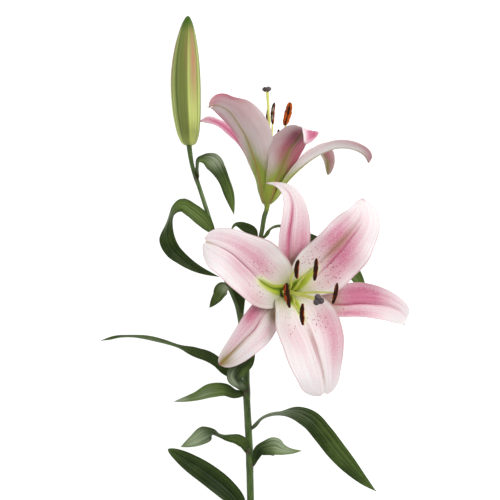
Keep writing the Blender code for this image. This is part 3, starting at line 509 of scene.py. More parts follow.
class Sheet:
    """The points of a petal or leaf, from station rows of x, y, z, two half widths, roll and cup.

    Each point knows its place along the midrib (0 to 1), its place across (-1 to 1) and how many
    millimetres aside of the midrib it is.
    """

    def __init__(self, stations, grid, sharp, tip=LEAF_TIP, facing=None):
        stations = np.asarray(stations, float)
        places = stations[:, :3]
        knots = path_lengths(places)
        knots = knots / knots[-1]
        # The true length of the curved midrib, and the share of it that each station has reached.
        fine = np.linspace(0, 1, FINE_STEPS)
        run = path_lengths(through(knots, places, fine))
        self.length = run[-1]
        run = run / self.length
        reached = np.interp(knots, fine, run)
        self.spread_grid(grid, tip)
        along, across = self.along.ravel(), self.across.ravel()
        at = np.interp(along, run, fine)
        middle = through(knots, places, at)
        tangent = unit(through(knots, places, np.minimum(at + 1e-3, 1))
                       - through(knots, places, np.maximum(at - 1e-3, 0)))
        half = self.half_widths(reached, stations[:, 3:5], sharp, tip)
        # Directions out to the side and off the sheet, turned by the roll; each row is bowed by its cup.
        roll, cup = np.radians(through(reached, stations[:, 5:7], along)).T
        if facing is None:
            out = unit(np.cross((0, 0, 1), tangent))
        else:
            out = unit(facing - (tangent @ facing)[:, None] * tangent)
        normal = np.cross(tangent, out)
        cos, sin = np.cos(roll)[:, None], np.sin(roll)[:, None]
        out, self.normal = out * cos + normal * sin, normal * cos - out * sin
        bow = np.where(np.abs(cup) < 1e-3, 1e-3, cup)
        self.points = (middle + (half * np.sin(bow * across) / bow)[:, None] * out
                       + (half * (1 - np.cos(bow * across)) / bow)[:, None] * self.normal)
        self.half = half.reshape(self.along.shape)
        self.aside = self.across * self.half

    def spread_grid(self, grid, tip):
        """Rows close up towards the tip and columns towards the midrib; the tip's end is shaped."""
        rows, columns = grid
        even = np.linspace(-1, 1, columns)
        across = np.sign(even) * np.abs(even) ** 1.4
        end = 1 - tip[2] * np.abs(across) ** 2.4 - tip[3] * hill(across, 0, 0.4)
        rise = 1 - (1 - np.linspace(0, 1, rows)) ** 1.35
        self.along = np.outer(rise, end)
        self.across = np.broadcast_to(across, self.along.shape)

    def half_widths(self, reached, halves, sharp, tip):
        """Half width at each point, on its own side of the midrib."""
        along, across = self.along.ravel(), self.across.ravel()
        full = halves / tip_taper(reached, sharp)[:, None]
        full[-1] = full[-2]    # the taper is nearly 0 at the tip itself
        widths = through(reached, full, along) * tip_taper(along, sharp)[:, None]
        least = np.where(along <= 0.5, LEAST, np.where(across < 0, tip[0], tip[1]))
        return np.maximum(np.where(across < 0, widths[:, 0], widths[:, 1]), least)

    def lift(self, height):
        """Moves the points along the sheet's normal by a grid of heights."""
        self.points = self.points + height.ravel()[:, None] * self.normal

    def patches(self, spots):
        """Sum of soft patches: place along, spread, place across, spread, strength."""
        total = np.zeros_like(self.along)
        for place, spread, side, width, strength in spots:
            total += strength * hill(self.along, place, spread) * hill(self.across, side, width)
        return np.clip(total, 0, 1.2)


# ---------------------------------------------------------------- meshes


def choose(*things):
    """Selects these and nothing else, in object mode; the first one becomes active."""
    if bpy.context.object and bpy.context.object.mode != "OBJECT":
        bpy.ops.object.mode_set(mode="OBJECT")
    bpy.ops.object.select_all(action="DESELECT")
    for thing in things:
        thing.select_set(True)
    if things:
        bpy.context.view_layer.objects.active = things[0]


def read_vertices(made, what="co"):
    flat = np.empty(len(made.data.vertices) * 3)
    made.data.vertices.foreach_get(what, flat)
    return flat.reshape(-1, 3)


def matrix_of(turn, location):
    """A rotation and a place in millimetres."""
    return Matrix.Translation(Vector(location) * MM) @ Matrix([list(row) for row in turn]).to_4x4()


def move_vertices(made, points, place=AT_ORIGIN):
    """Gives the vertices their points, in millimetres as seen from the place."""
    place = np.array(place)
    points = points * MM @ place[:3, :3].T + place[:3, 3]
    made.data.vertices.foreach_set("co", points.ravel())


def mark(made, label, values):
    """Four painted values at each vertex, for the material to read."""
    layer = made.data.attributes.new(label, "FLOAT_COLOR", "POINT")
    layer.data.foreach_set("color", np.asarray(values, np.float32).ravel())


def add_ball(sides, rings):
    """A sphere to be shaped, and the coordinates of its vertices."""
    choose()
    bpy.ops.mesh.primitive_uv_sphere_add(segments=sides, ring_count=rings, radius=1)
    made = bpy.context.active_object
    return made, *read_vertices(made).T


def smooth(made, angle=None):
    """Smooth shading; faces that meet at more than the angle keep a sharp edge."""
    choose(made)
    if angle is None:
        bpy.ops.object.shade_smooth()
    else:
        bpy.ops.object.shade_smooth_by_angle(angle=math.radians(angle))


def join(*things):
    """Makes the pieces one; the first one stays."""
    choose(*things)
    bpy.ops.object.join()
    return bpy.context.active_object


def tube(points, sides):
    """A closed tube through (x, y, z, radius) points, as a mesh."""
    data = bpy.data.curves.new("path", "CURVE")
    data.dimensions = "3D"
    spline = data.splines.new("POLY")
    spline.points.add(len(points) - 1)
    for point, (x, y, z, radius) in zip(spline.points, points):
        point.co = (x * MM, y * MM, z * MM, 1)
        point.radius = radius
    data.bevel_depth = MM
    data.bevel_resolution = (sides - 4) // 2
    data.use_fill_caps = True
    made = bpy.data.objects.new("path", data)
    bpy.context.scene.collection.objects.link(made)
    choose(made)
    bpy.ops.object.convert(target="MESH")
    made = bpy.context.active_object
    bpy.ops.object.mode_set(mode="EDIT")
    bpy.ops.mesh.select_all(action="SELECT")
    bpy.ops.mesh.remove_doubles(threshold=WELD)
    bpy.ops.mesh.normals_make_consistent(inside=False)
    bpy.ops.object.mode_set(mode="OBJECT")
    return made


def sheet_piece(sheet, marks, thickness, face, back, place=AT_ORIGIN):
    """A grid moved to the sheet's points, painted with its marks, and given its thickness."""
    rows, columns = sheet.along.shape
    choose()
    bpy.ops.mesh.primitive_grid_add(x_subdivisions=columns - 1, y_subdivisions=rows - 1, size=2)
    made = bpy.context.active_object
    mesh = made.data
    flat = read_vertices(made)
    column = np.rint((1 - flat[:, 0]) / 2 * (columns - 1)).astype(int)
    row = np.rint((flat[:, 1] + 1) / 2 * (rows - 1)).astype(int)
    index = row * columns + column
    move_vertices(made, sheet.points[index], place)
    along, across, aside = (part.ravel()[index] for part in (sheet.along, sheet.across, sheet.aside))
    corners = np.empty(len(mesh.loops), int)
    mesh.loops.foreach_get("vertex_index", corners)
    # Two maps: the place on the sheet, from 0 to 1, and its real size, in tenths of a metre.
    form = np.stack([across / 2 + 0.5, along], 1)
    size = np.stack([aside / 100 + 0.5, along * sheet.length / 100], 1)
    mesh.uv_layers[0].name = "Form"
    mesh.uv_layers["Form"].data.foreach_set("uv", form[corners].ravel())
    mesh.uv_layers.new(name="Size").data.foreach_set("uv", size[corners].ravel())
    for label, values in marks.items():
        mark(made, label, values.reshape(-1, 4)[index])
    body = made.vertex_groups.new(name="body")
    weight = np.round(1 - np.abs(across) ** 2.5, 2)
    for level in np.unique(weight):
        body.add(np.flatnonzero(weight == level).tolist(), float(level), "REPLACE")
    thick = made.modifiers.new("thickness", "SOLIDIFY")
    thick.thickness = thickness
    thick.offset = 0
    thick.vertex_group = body.name
    thick.thickness_vertex_group = bpy.context.scene.lily_sizes.thin
    thick.material_offset = 1
    thick.material_offset_rim = 1
    mesh.materials.append(face)
    mesh.materials.append(back)
    choose(made)
    bpy.ops.object.modifier_apply(modifier=thick.name)
    made.vertex_groups.clear()
    smooth(made, 60)
    return made


def settle(made, node, slot, *materials):
    """Hands a finished piece over: materials, the body it rides on and the node it stands for."""
    made.name = f"lily_{node}"
    made.data.name = made.name
    for material in materials:
        made.data.materials.append(material)
    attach(made, "root")
    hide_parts(node)


# ---------------------------------------------------------------- materials


class Paint:
    """The nodes of one material, and the colour that its layers have made so far."""

    def __init__(self, name):
        self.material = bpy.data.materials.new(name)
        self.material.use_nodes = True
        self.tree = self.material.node_tree
        self.shader = self.tree.nodes["Principled BSDF"]
        self.colour = None

    def put(self, socket, value):
        """Links another node's output to a socket, or sets the socket to a constant."""
        if isinstance(value, bpy.types.NodeSocket):
            self.tree.links.new(value, socket)
        elif hasattr(value, "__len__"):
            alpha = (1,) if len(socket.default_value) == 4 else ()
            socket.default_value = tuple(value)[:3] + alpha
        else:
            socket.default_value = value

    def set(self, **values):
        """Constants of the shader: its sockets' names with _ for each space."""
        for name, value in values.items():
            self.put(self.shader.inputs[name.replace("_", " ")], value)

    def node(self, kind, inputs, **settings):
        """A new node of that kind, with what its sockets and its settings hold."""
        made = self.tree.nodes.new(f"ShaderNode{kind}")
        for key, value in settings.items():
            setattr(made, key, value)
        for socket, value in inputs.items():
            self.put(made.inputs[socket], value)
        return made

    def plus(self, a, b):
        return self.node("Math", {0: a, 1: b}, operation="ADD").outputs[0]

    def times(self, a, b, clamp=False):
        return self.node("Math", {0: a, 1: b}, operation="MULTIPLY", use_clamp=clamp).outputs[0]

    def ease(self, value, low, high, most=1.0):
        """0 at low, most at high, smooth between and level beyond; low may be the larger of the two."""
        inputs = {"Value": value, "From Min": low, "From Max": high, "To Max": most}
        return self.node("MapRange", inputs, interpolation_type="SMOOTHSTEP").outputs["Result"]

    def place(self, source, scale):
        """Coordinates from a UV map or from the object, stretched by scale."""
        if source == "Object":
            vector = self.node("TexCoord", {}).outputs["Object"]
        else:
            vector = self.node("UVMap", {}, uv_map=source).outputs["UV"]
        return self.node("Mapping", {"Vector": vector, "Scale": scale}).outputs["Vector"]

    def noise(self, source, scale, detail=3, roughness=0.5):
        inputs = {"Vector": self.place(source, scale), "Scale": 1, "Detail": detail, "Roughness": roughness}
        return self.node("TexNoise", inputs).outputs["Fac"]

    def marks(self, label):
        """The four painted values of a piece."""
        read = self.node("Attribute", {}, attribute_name=label)
        split = self.node("SeparateColor", {0: read.outputs["Color"]})
        return (*split.outputs, read.outputs["Alpha"])

    def cover(self, colour, share, grain=None, least=0.0):
        """Lays a colour over the layers below by its share, which a grain breaks up."""
        if grain is not None:
            share = self.times(share, self.plus(grain, least), clamp=True)
        below, above, blend = 6, 7, 2    # the colour sockets of the node
        made = self.node("Mix", {"Factor": share, below: self.colour, above: colour}, data_type="RGBA")
        self.colour = made.outputs[blend]

    def scatter(self, weight, depths):
        """Lets light into the surface, to these depths for red, green and blue."""
        self.set(Subsurface_Weight=weight, Subsurface_Radius=depths, Subsurface_Scale=1)

    def bump(self, height, depth, strength):
        inputs = {"Height": height, "Distance": depth, "Strength": strength}
        self.put(self.shader.inputs["Normal"], self.node("Bump", inputs).outputs["Normal"])

    def finish(self, roughness):
        """Hands the colour of all the layers to the shader."""
        self.put(self.shader.inputs["Base Color"], self.colour)
        self.put(self.shader.inputs["Roughness"], roughness)


def once(coat):
    """The material that a function paints, made the first time that it is asked for."""
    name = coat.__name__
    if name not in bpy.data.materials:
        coat(Paint(name), bpy.context.scene.lily_colours)
    return bpy.data.materials[name]


def petal_face(p, c):
    """White with streaky pink, green grooves in the throat, raised spots, and a darker pink rim that is
    partly painted shade.
    """
    p.colour = c.white
    blush, green, rib, spots = p.marks("face_marks")
    olive, rim, dark_groove, _ = p.marks("tint_marks")
    streaks = p.noise("Form", (30, 2, 1), 5, 0.62)
    cloud = p.noise("Size", (10, 6, 1), 3, 0.55)
    mottle = p.noise("Size", (95, 60, 1), 3, 0.7)
    veins = p.noise("Form", (60, 1.2, 1), 2)
    shade = p.plus(p.times(streaks, 0.8), p.times(cloud, 0.6))
    shade = p.plus(shade, p.times(p.plus(mottle, -0.5), 1.3))
    p.cover(c.blush, blush, shade, 0.3)
    p.cover(c.blush, p.ease(p.times(streaks, p.plus(mottle, 0.5)), 0.38, 0.75, 0.24))
    p.cover(c.back_rib, olive, streaks, 0.4)
    # Rim: a darker pink line along the edges and the tip, partly the petal's margin and partly painted
    # shade.
    p.cover(c.back_blush, p.times(rim, 0.5))
    p.cover(c.cream, p.ease(green, 0.02, 0.3))
    p.cover(c.lime, p.ease(green, 0.25, 0.6))
    p.cover(c.throat, p.ease(green, 0.7, 1.1, 0.6))
    p.cover(c.throat, dark_groove, streaks, 0.35)
    p.cover(c.rose, rib, streaks, 0.35)
    inputs = {"Vector": p.place("Size", (42, 32, 1)), "Scale": 1, "Randomness": 1}
    cells = p.node("TexVoronoi", inputs, feature="F1")
    chance = p.node("SeparateColor", {0: cells.outputs["Color"]}).outputs[0]
    kept = p.ease(p.plus(chance, p.times(spots, 1.1)), 0.85, 1)
    dots = p.ease(cells.outputs["Distance"], 0.28, 0.12)
    dots = p.times(dots, p.times(kept, p.ease(spots, 0.06, 0.4)))
    p.cover(c.spots, p.times(dots, 0.9))
    height = p.plus(veins, p.times(mottle, 0.35))
    p.bump(p.plus(height, p.times(dots, 1.4)), 0.35 * MM, 0.8)
    p.scatter(0.18, PETAL_DEPTHS)
    p.finish(p.plus(p.times(cloud, 0.2), 0.42))


def petal_back(p, c):
    """Greyish white with pink patches, a green foot and an olive midrib, whitened by painted light on its
    outer part, with dark patches of painted shade.
    """
    p.colour = c.back
    blush, green, rib, pale = p.marks("back_marks")
    painted_shade = p.marks("tint_marks")[3]
    streaks = p.noise("Form", (36, 1.8, 1), 5, 0.62)
    cloud = p.noise("Size", (9, 5, 1), 3, 0.55)
    mottle = p.noise("Size", (80, 50, 1), 3, 0.7)
    veins = p.noise("Form", (60, 1.2, 1), 2)
    shade = p.plus(streaks, p.times(mottle, 0.5))
    # Painted light: the outer part of the back is whitened by the tepal's pale share.
    p.cover(c.white, p.times(pale, 0.8))
    p.cover(c.white, p.ease(streaks, 0.4, 0.7, 0.35))
    p.cover(c.white, p.ease(cloud, 0.45, 0.75, 0.3))
    p.cover(c.back_blush, blush, shade, 0.15)
    p.cover(c.back_foot, green, shade, 0.35)
    p.cover(c.back_rib, rib, streaks, 0.5)
    # Painted shade: the dark axil purple, laid where the back lies in shadow.
    p.cover(c.axil, painted_shade, streaks, 0.3)
    p.bump(veins, 0.35 * MM, 0.8)
    p.scatter(0.15, PETAL_DEPTHS)
    p.finish(p.plus(p.times(cloud, 0.2), 0.42))


def leaf_side(p, c, ground, cloudy, ribbed, roughness):
    """One side of a leaf: parallel veins, a faint midrib, uneven green, painted sheen, and light and dark
    patches that are partly painted light and shade.
    """
    p.colour = ground
    light, pale, rib, dark = p.marks("leaf_marks")
    veins = p.noise("Form", (26, 0.6, 1), 2, 0.6)
    fine = p.noise("Form", (80, 1.4, 1), 2, 0.6)
    cloud = p.noise("Size", (7, 4, 1), 3, 0.55)
    streaks = p.ease(p.plus(p.times(veins, 0.6), p.times(fine, 0.4)), 0.38, 0.62)
    p.cover(c.leaf_light, p.times(streaks, 0.3))
    p.cover(cloudy, p.ease(cloud, 0.45, 0.8, 0.35))
    # Light patches: partly paler green and partly painted light.
    p.cover(c.leaf_light, light, streaks, 0.5)
    p.cover(ribbed, p.times(rib, 0.3))
    # Dark patches: partly darker green and partly painted shade in folds.
    p.cover(c.leaf, p.times(dark, 0.8))
    # Pale patches: painted sheen and highlights.
    p.cover(c.leaf_pale, pale, streaks, 0.55)
    p.set(Specular_IOR_Level=0.15)
    p.bump(p.plus(veins, p.times(fine, 0.5)), 0.3 * MM, 0.8)
    p.scatter(0.1, LEAF_DEPTHS)
    p.finish(p.plus(p.times(cloud, 0.25), roughness))


def leaf_face(p, c):
    """Dark green with light veins."""
    leaf_side(p, c, c.leaf, c.leaf_light, c.leaf_back, 0.26)


def leaf_back(p, c):
    """Paler and duller than the face."""
    leaf_side(p, c, c.leaf_back, c.leaf, c.leaf_light, 0.4)


def stem_skin(p, c):
    """Green with long darker streaks, purple where leaves join, a pale cut end, and painted shade on the
    flank that faces -X, away from the key lamp.
    """
    p.colour = c.stem_dark
    axil, cut_end, foot, shade = p.marks("stem_marks")
    streaks = p.noise("Object", (900, 45, 900), 3, 0.6)
    cloud = p.noise("Object", (120, 30, 120))
    pores = p.noise("Object", (2600, 900, 2600), 2)
    p.cover(c.stem, p.ease(streaks, 0.35, 0.7))
    p.cover(c.leaf_light, p.ease(cloud, 0.4, 0.75, 0.45))
    p.cover(c.back_foot, foot)
    # Painted shade: the stem's flank that faces -X is darkened.
    p.cover(c.stem_dark, shade)
    p.cover(c.axil, axil)
    p.cover(c.cream, cut_end)
    p.bump(p.plus(streaks, p.times(pores, 0.4)), 0.3 * MM, 0.6)
    p.scatter(0.1, STEM_DEPTHS)
    p.finish(p.plus(p.times(cloud, 0.2), 0.3))


def bud_skin(p, c):
    """Yellow green, pale beside each keel partly as painted light, with a pink flank and dark seams."""
    p.colour = c.bud_dark
    blush, seam, light, keel = p.marks("bud_marks")
    streaks = p.noise("Form", (60, 1.5, 1), 4, 0.6)
    cloud = p.noise("Object", (90, 30, 90))
    p.cover(c.bud, p.ease(streaks, 0.35, 0.7, 0.5))
    # Pale flank: partly paler tissue and partly painted light.
    p.cover(c.bud_light, light, streaks, 0.4)
    p.cover(c.bud_blush, blush, cloud, 0.35)
    p.cover(c.lime, p.times(keel, 0.35))
    p.cover(shaded(c.throat, 0.55), seam)
    p.set(Specular_IOR_Level=0.25)
    p.bump(streaks, 0.4 * MM, 0.7)
    p.scatter(0.15, BUD_DEPTHS)
    p.finish(p.plus(p.times(cloud, 0.2), 0.32))


def anther_skin(p, c):
    """Dark brown sacs with grainy orange pollen."""
    p.colour = c.anther
    flank, pale, _, _ = p.marks("anther_marks")
    grain = p.noise("Object", (1800, 1800, 1800), 3, 0.65)
    patch = p.noise("Object", (420, 420, 420), 3, 0.6)
    p.cover(c.pollen, p.ease(p.plus(p.times(flank, 0.85), p.times(patch, 0.9)), 0.6, 1.05))
    p.cover(c.pollen, p.ease(grain, 0.5, 0.8, 0.25))
    p.cover(c.cream, pale)
    p.set(Specular_IOR_Level=0.2)
    p.bump(grain, 0.5 * MM, 1)
    p.finish(0.8)


def filament_skin(p, c):
    """Pale yellow green, with faint streaks."""
    p.colour = c.filament
    streaks = p.noise("Object", (1400, 1400, 200))
    p.cover(c.throat, p.ease(p.noise("Object", (160, 160, 60)), 0.4, 0.7, 0.1))
    p.cover(c.cream, p.ease(streaks, 0.4, 0.7, 0.45))
    p.bump(streaks, 0.2 * MM, 0.5)
    p.scatter(0.2, BUD_DEPTHS)
    p.finish(0.4)


def stigma_skin(p, c):
    """Grainy purple grey, with lighter clouds that are painted highlights."""
    p.colour = shaded(c.stigma, 0.5)
    grain = p.noise("Object", (2200, 2200, 2200), 3, 0.6)
    p.cover(c.stigma, p.ease(grain, 0.3, 0.7))
    # Painted highlights: lighter clouds of the stigma's own colour.
    p.cover(shaded(c.stigma, 2.6), p.ease(p.noise("Object", (500, 500, 500)), 0.52, 0.75, 0.6))
    p.bump(grain, 0.4 * MM, 0.9)
    p.finish(0.45)


# ---------------------------------------------------------------- pieces


def up_axis(flower, rise):
    """A place on the flower's axis, that far from its base."""
    return flower["base"] + turn_to(flower["axis"], flower["up"])[:, 2] * rise


def stalk(flower):
    """A flower stalk that swells into its receptacle, along the flower's axis."""
    rings = [(*up_axis(flower, rise), radius) for rise, radius in RECEPTACLE]
    return tube(smooth_path(flower["stalk"] + rings, flower["rings"]), STALK_SIDES)


def distances(points, places):
    """Distance of every point from each of the places, place by place."""
    return [np.linalg.norm(points - place, axis=1) for place in places]


class LILY_OT_stem(bpy.types.Operator):
    """Builds the stem with the stalks of the bud and of both flowers"""
    bl_idname = "lily.stem"
    bl_label = "Stem"

    def execute(self, context):
        leaf_places = [leaf["line"][0][:3] for leaf in LEAVES.values()]
        path = smooth_path(STEM_TO_BUD, STEM_RINGS)
        for away in distances(path[:, :3], leaf_places):
            if away.min() < 6:    # this leaf joins here, and the stem swells a little
                path[:, 3] += 0.35 * hill(away, 0, 5)
        made = join(tube(path, STEM_SIDES), stalk(FLOWERS["back"]), stalk(FLOWERS["front"]))
        skin = made.modifiers.new("skin", "REMESH")
        skin.mode = "VOXEL"
        skin.voxel_size = context.scene.lily_sizes.grain
        soften = made.modifiers.new("soften", "SMOOTH")
        soften.factor = 0.5
        soften.iterations = 6
        choose(made)
        for modifier in ("skin", "soften"):
            bpy.ops.object.modifier_apply(modifier=modifier)
        smooth(made)
        points = read_vertices(made) / MM
        axil = 0.9 * hill(np.min(distances(points, leaf_places), axis=0), 0, 3.4)
        cut_end = ease(STEM_TO_BUD[0][1] - points[:, 1], -0.8, -0.1)
        receptacles = [up_axis(flower, -2) for flower in FLOWERS.values()]
        foot = 1 - ease(np.min(distances(points, receptacles), axis=0), 3, 11)
        # Painted shade, darkest where the surface faces -X, away from the key lamp.
        shade = 0.7 * ease(-read_vertices(made, "normal")[:, 0], 0.35, 0.95)
        mark(made, "stem_marks", painted(axil, cut_end, foot, shade))
        settle(made, "stem", "stem", once(stem_skin))
        return {"FINISHED"}


class LILY_OT_bud(bpy.types.Operator):
    """Builds the closed bud from a sphere: three keeled outer tepals and the seams between them"""
    bl_idname = "lily.bud"
    bl_label = "Bud"

    def execute(self, context):
        made, x, y, z = add_ball(BUD_SIDES, BUD_RINGS)
        made.data.uv_layers[0].name = "Form"
        # Rings of the sphere, spread more evenly from base (0) to tip (1).
        share = 1 - np.arccos(np.clip(z, -1, 1)) / np.pi
        share = np.where(share < 0.5, 2 * share**2, 1 - 2 * (1 - share) ** 2) * 0.6 + share * 0.4
        turn = np.arctan2(y, x)
        # Angle from the nearest keel; the seams lie between the keels.
        third = 2 * np.pi / 3
        keel = (turn - math.radians(KEEL_AZIMUTH) + third / 2) % third - third / 2
        way = np.asarray(BUD_TIP) - np.asarray(BUD_BASE)
        radius = self.radius(share, keel)
        points = np.stack([radius * np.cos(turn), radius * np.sin(turn), share * np.linalg.norm(way)], 1)
        points = points @ turn_to(way, (0, 0, 1)).T + BUD_BASE
        points[:, 0] += BUD_BOW * np.sin(np.pi * share)
        move_vertices(made, points)
        mark(made, "bud_marks", self.marks(share, keel))
        smooth(made)
        settle(made, "bud", "bud", once(bud_skin))
        return {"FINISHED"}

    def radius(self, share, keel):
        """Radius at each point, raised along the keels and sunk along the seams."""
        along, radii = np.asarray(BUD_RADIUS).T
        radius = through(along, radii[:, None], share)[:, 0] * ease(share, -0.002, 0.01) ** 0.5
        radius *= (1 - ease(share, 0.985, 1)) ** 0.5
        belly = ease(share, 0, 0.12) * (1 - 0.6 * ease(share, 0.8, 1))
        shape = 0.03 * hill(keel, 0, 0.09) - 0.06 * hill(np.abs(keel), 0.82, 0.07) + 0.01 * np.cos(3 * keel)
        shape -= 0.016 * hill(np.abs(keel), 0.4, 0.06)
        return radius * (1 + shape * belly)

    def marks(self, share, keel):
        """Blush, seams, pale flank that is partly painted light, and bright keel."""
        blush = (0.95 * hill(keel, 0.5, 0.28) * hill(share, 0.65, 0.26)
                 + 0.45 * hill(keel, -0.1, 0.09) * hill(share, 0.72, 0.15))
        seam = hill(np.abs(keel), 0.82, 0.06) + 0.6 * hill(keel, -0.06, 0.035) * ease(share, 0.45, 0.7)
        seam = np.clip(0.6 * seam + 1.1 * ease(share, 0.84, 0.98), 0, 1)
        flank = ease(keel, -0.04, 0.06) * (1 - ease(keel, 0.95, 1.04))
        # Pale flank on one side of each keel, paler at the base too: partly paler tissue and partly painted
        # light.
        light = (flank * (1 - 0.5 * ease(share, 0.2, 0.55)) * (1 - 0.7 * ease(share, 0.6, 0.95))
                 + 0.35 * (1 - ease(share, 0, 0.12)) + 0.45 * hill(np.abs(keel), 0.97, 0.1))
        bright = hill(keel, 0.08, 0.06) * (1 - 0.6 * ease(share, 0.7, 0.92))
        return painted(blush, seam, light, bright)


def leaf_foot(first, second):
    """A place inside the stem that the leaf's midrib starts from, behind its first station."""
    first, second = np.asarray(first[:3], float), np.asarray(second[:3], float)
    behind = first - 4 * unit(second - first)
    lines = (STEM_TO_BUD, STALK_TO_BACK, STALK_TO_FRONT)
    centres = np.concatenate([smooth_path(line, 300)[:, :3] for line in lines])
    near = centres[np.linalg.norm(centres - behind, axis=1).argmin()]
    return 0.35 * behind + 0.65 * near


class LILY_OT_leaves(bpy.types.Operator):
    """Builds the leaves, each with a rippled edge, a grooved midrib and its foot inside the stem"""
    bl_idname = "lily.leaves"
    bl_label = "Leaves"

    def execute(self, context):
        for number, (name, leaf) in enumerate(LEAVES.items(), 1):
            self.leaf(context.scene.lily_sizes, number, name, leaf)
        return {"FINISHED"}

    def leaf(self, sizes, number, name, leaf):
        first, second = leaf["line"][:2]
        foot = (*leaf_foot(first, second), min(1.3, first[3]), *first[4:])
        stations = [(x, y, z, half, half, roll, cup) for x, y, z, half, roll, cup in (foot, *leaf["line"])]
        sheet = Sheet(stations, LEAF_GRID, leaf.get("sharp", LEAF_SHARP))
        along, across, aside = sheet.along, sheet.across, sheet.aside
        narrow = np.minimum(1, sheet.half / 5)
        wave = np.sin(2 * np.pi * (3.1 * along + 0.37 * number + 0.4 * (across > 0)))
        ripple = 0.5 * narrow * ease(along, 0.15, 0.4) * np.abs(across) ** 2.5 * wave
        groove = sizes.leaf_groove / MM * narrow * hill(aside, 0, 1)
        sheet.lift(ripple - groove + 0.1 * narrow * np.sin(across * 19))
        # Light and dark patches are partly the leaf's own tone and partly painted light and shade; pale
        # patches are painted sheen.
        light, pale, dark = (sheet.patches(leaf.get(key, ())) for key in ("light", "pale", "dark"))
        light = np.clip(light + 0.4 * ease(along, 0.85, 1), 0, 1)
        rib = hill(aside, 0, 0.45) * (1 - ease(along, 0.75, 0.98))
        marks = {"leaf_marks": painted(light, np.clip(pale, 0, 1), rib, np.clip(dark, 0, 1))}
        made = sheet_piece(sheet, marks, LEAF_SHARE * sizes.sheet, once(leaf_face), once(leaf_back))
        settle(made, name, "leaf")


class LILY_OT_tepals(bpy.types.Operator):
    """Builds the six tepals of each open flower, shaped upright and then turned to their places"""
    bl_idname = "lily.tepals"
    bl_label = "Tepals"

    def execute(self, context):
        sizes = context.scene.lily_sizes
        for side, flower in FLOWERS.items():
            place = matrix_of(turn_to(flower["axis"], flower["up"]), flower["base"])
            for name, tepal in flower["tepals"].items():
                sheet = Sheet(tepal["line"], TEPAL_GRID, TEPAL_SHARP, tepal["tip"], np.array((0, 1, 0)))
                self.relief(sheet, tepal["ruffle"], sizes.groove / MM)
                turned = place @ Matrix.Rotation(math.radians(tepal["azimuth"]), 4, "Z")
                made = sheet_piece(sheet, self.marks(sheet, tepal), sizes.sheet,
                                   once(petal_face), once(petal_back), turned)
                settle(made, f"{side}_{name}", name[:5])
        return {"FINISHED"}

    def relief(self, sheet, ruffle, depth):
        """Ruffled edges, a grooved midrib between low ridges, and faint folds."""
        along, across, aside = sheet.along, sheet.across, np.abs(sheet.aside)
        height, waves, phase = ruffle
        wave = np.sin(2 * np.pi * (waves * along + phase + 0.31 * (across > 0)))
        ruffles = height * ease(along, 0.2, 0.5) * np.abs(across) ** 3 * wave
        fade = ease(along, 0.02, 0.15) * (1 - 0.7 * ease(along, 0.6, 0.98))
        narrow = np.minimum(1, sheet.half / 12)
        groove = -depth * fade * narrow * hill(aside, 0, 1.3)
        ridges = 0.35 * fade * narrow * (hill(aside, 3, 1.2) + 0.5 * hill(aside, 6.5, 1.5))
        folds = 0.12 * np.sin(across * 17 + 3 * along) * ease(along, 0.25, 0.6) * (1 - across * across)
        sheet.lift(ruffles + groove + ridges + folds)

    def marks(self, sheet, tepal):
        """Where the colours of the face and the back lie."""
        along, across, aside = sheet.along, sheet.across, sheet.aside
        end, wide, edge = tepal.get("throat", (0.36, 3, 0))

        def soft(key, plain=()):
            return sheet.patches(tepal.get(key, plain))

        green = hill(aside, 0, wide) * (1.15 - 0.75 * along / end) * (1 - ease(along, end - 0.12, end))
        green = np.clip(green + 0.22 * (1 - ease(along, 0.12, 0.34)), 0, 1)
        rib = 0.5 * hill(aside, 0, 0.6) * ease(along, end - 0.05, end + 0.1) * (1 - ease(along, 0.8, 0.95))
        rib = np.clip(rib + soft("lines"), 0, 1)
        # Rim along the edges and the tip: partly the petal's margin and partly painted shade.
        rim = ease(np.abs(across), 0.94, 1) * ease(along, 0.1, 0.3) + ease(along, 0.975, 1)
        dark_groove = hill(aside, edge, 1.1) * (1 - ease(along, end - 0.16, end - 0.04))
        foot = (1 - ease(along, 0.1, 0.46)) + 0.6 * hill(aside, 0, 6) * (1 - ease(along, 0.35, 0.68))
        foot = np.clip(foot + soft("green"), 0, 1)
        back_rib = np.clip(hill(aside, 0, 1.3) * (1 - 0.3 * along), 0, 1)
        # Painted light that whitens the back's outer part.
        pale = tepal.get("pale", 0) * ease(along, 0.25, 0.5)
        return {
            "face_marks": painted(soft("blush", PLAIN_BLUSH), green, rib, soft("spots", PLAIN_SPOTS)),
            # The last tint value is painted shade on the back.
            "tint_marks": painted(soft("olive"), rim, dark_groove, soft("painted_shade")),
            "back_marks": painted(soft("back", PLAIN_BLUSH), foot, back_rib, pale)}


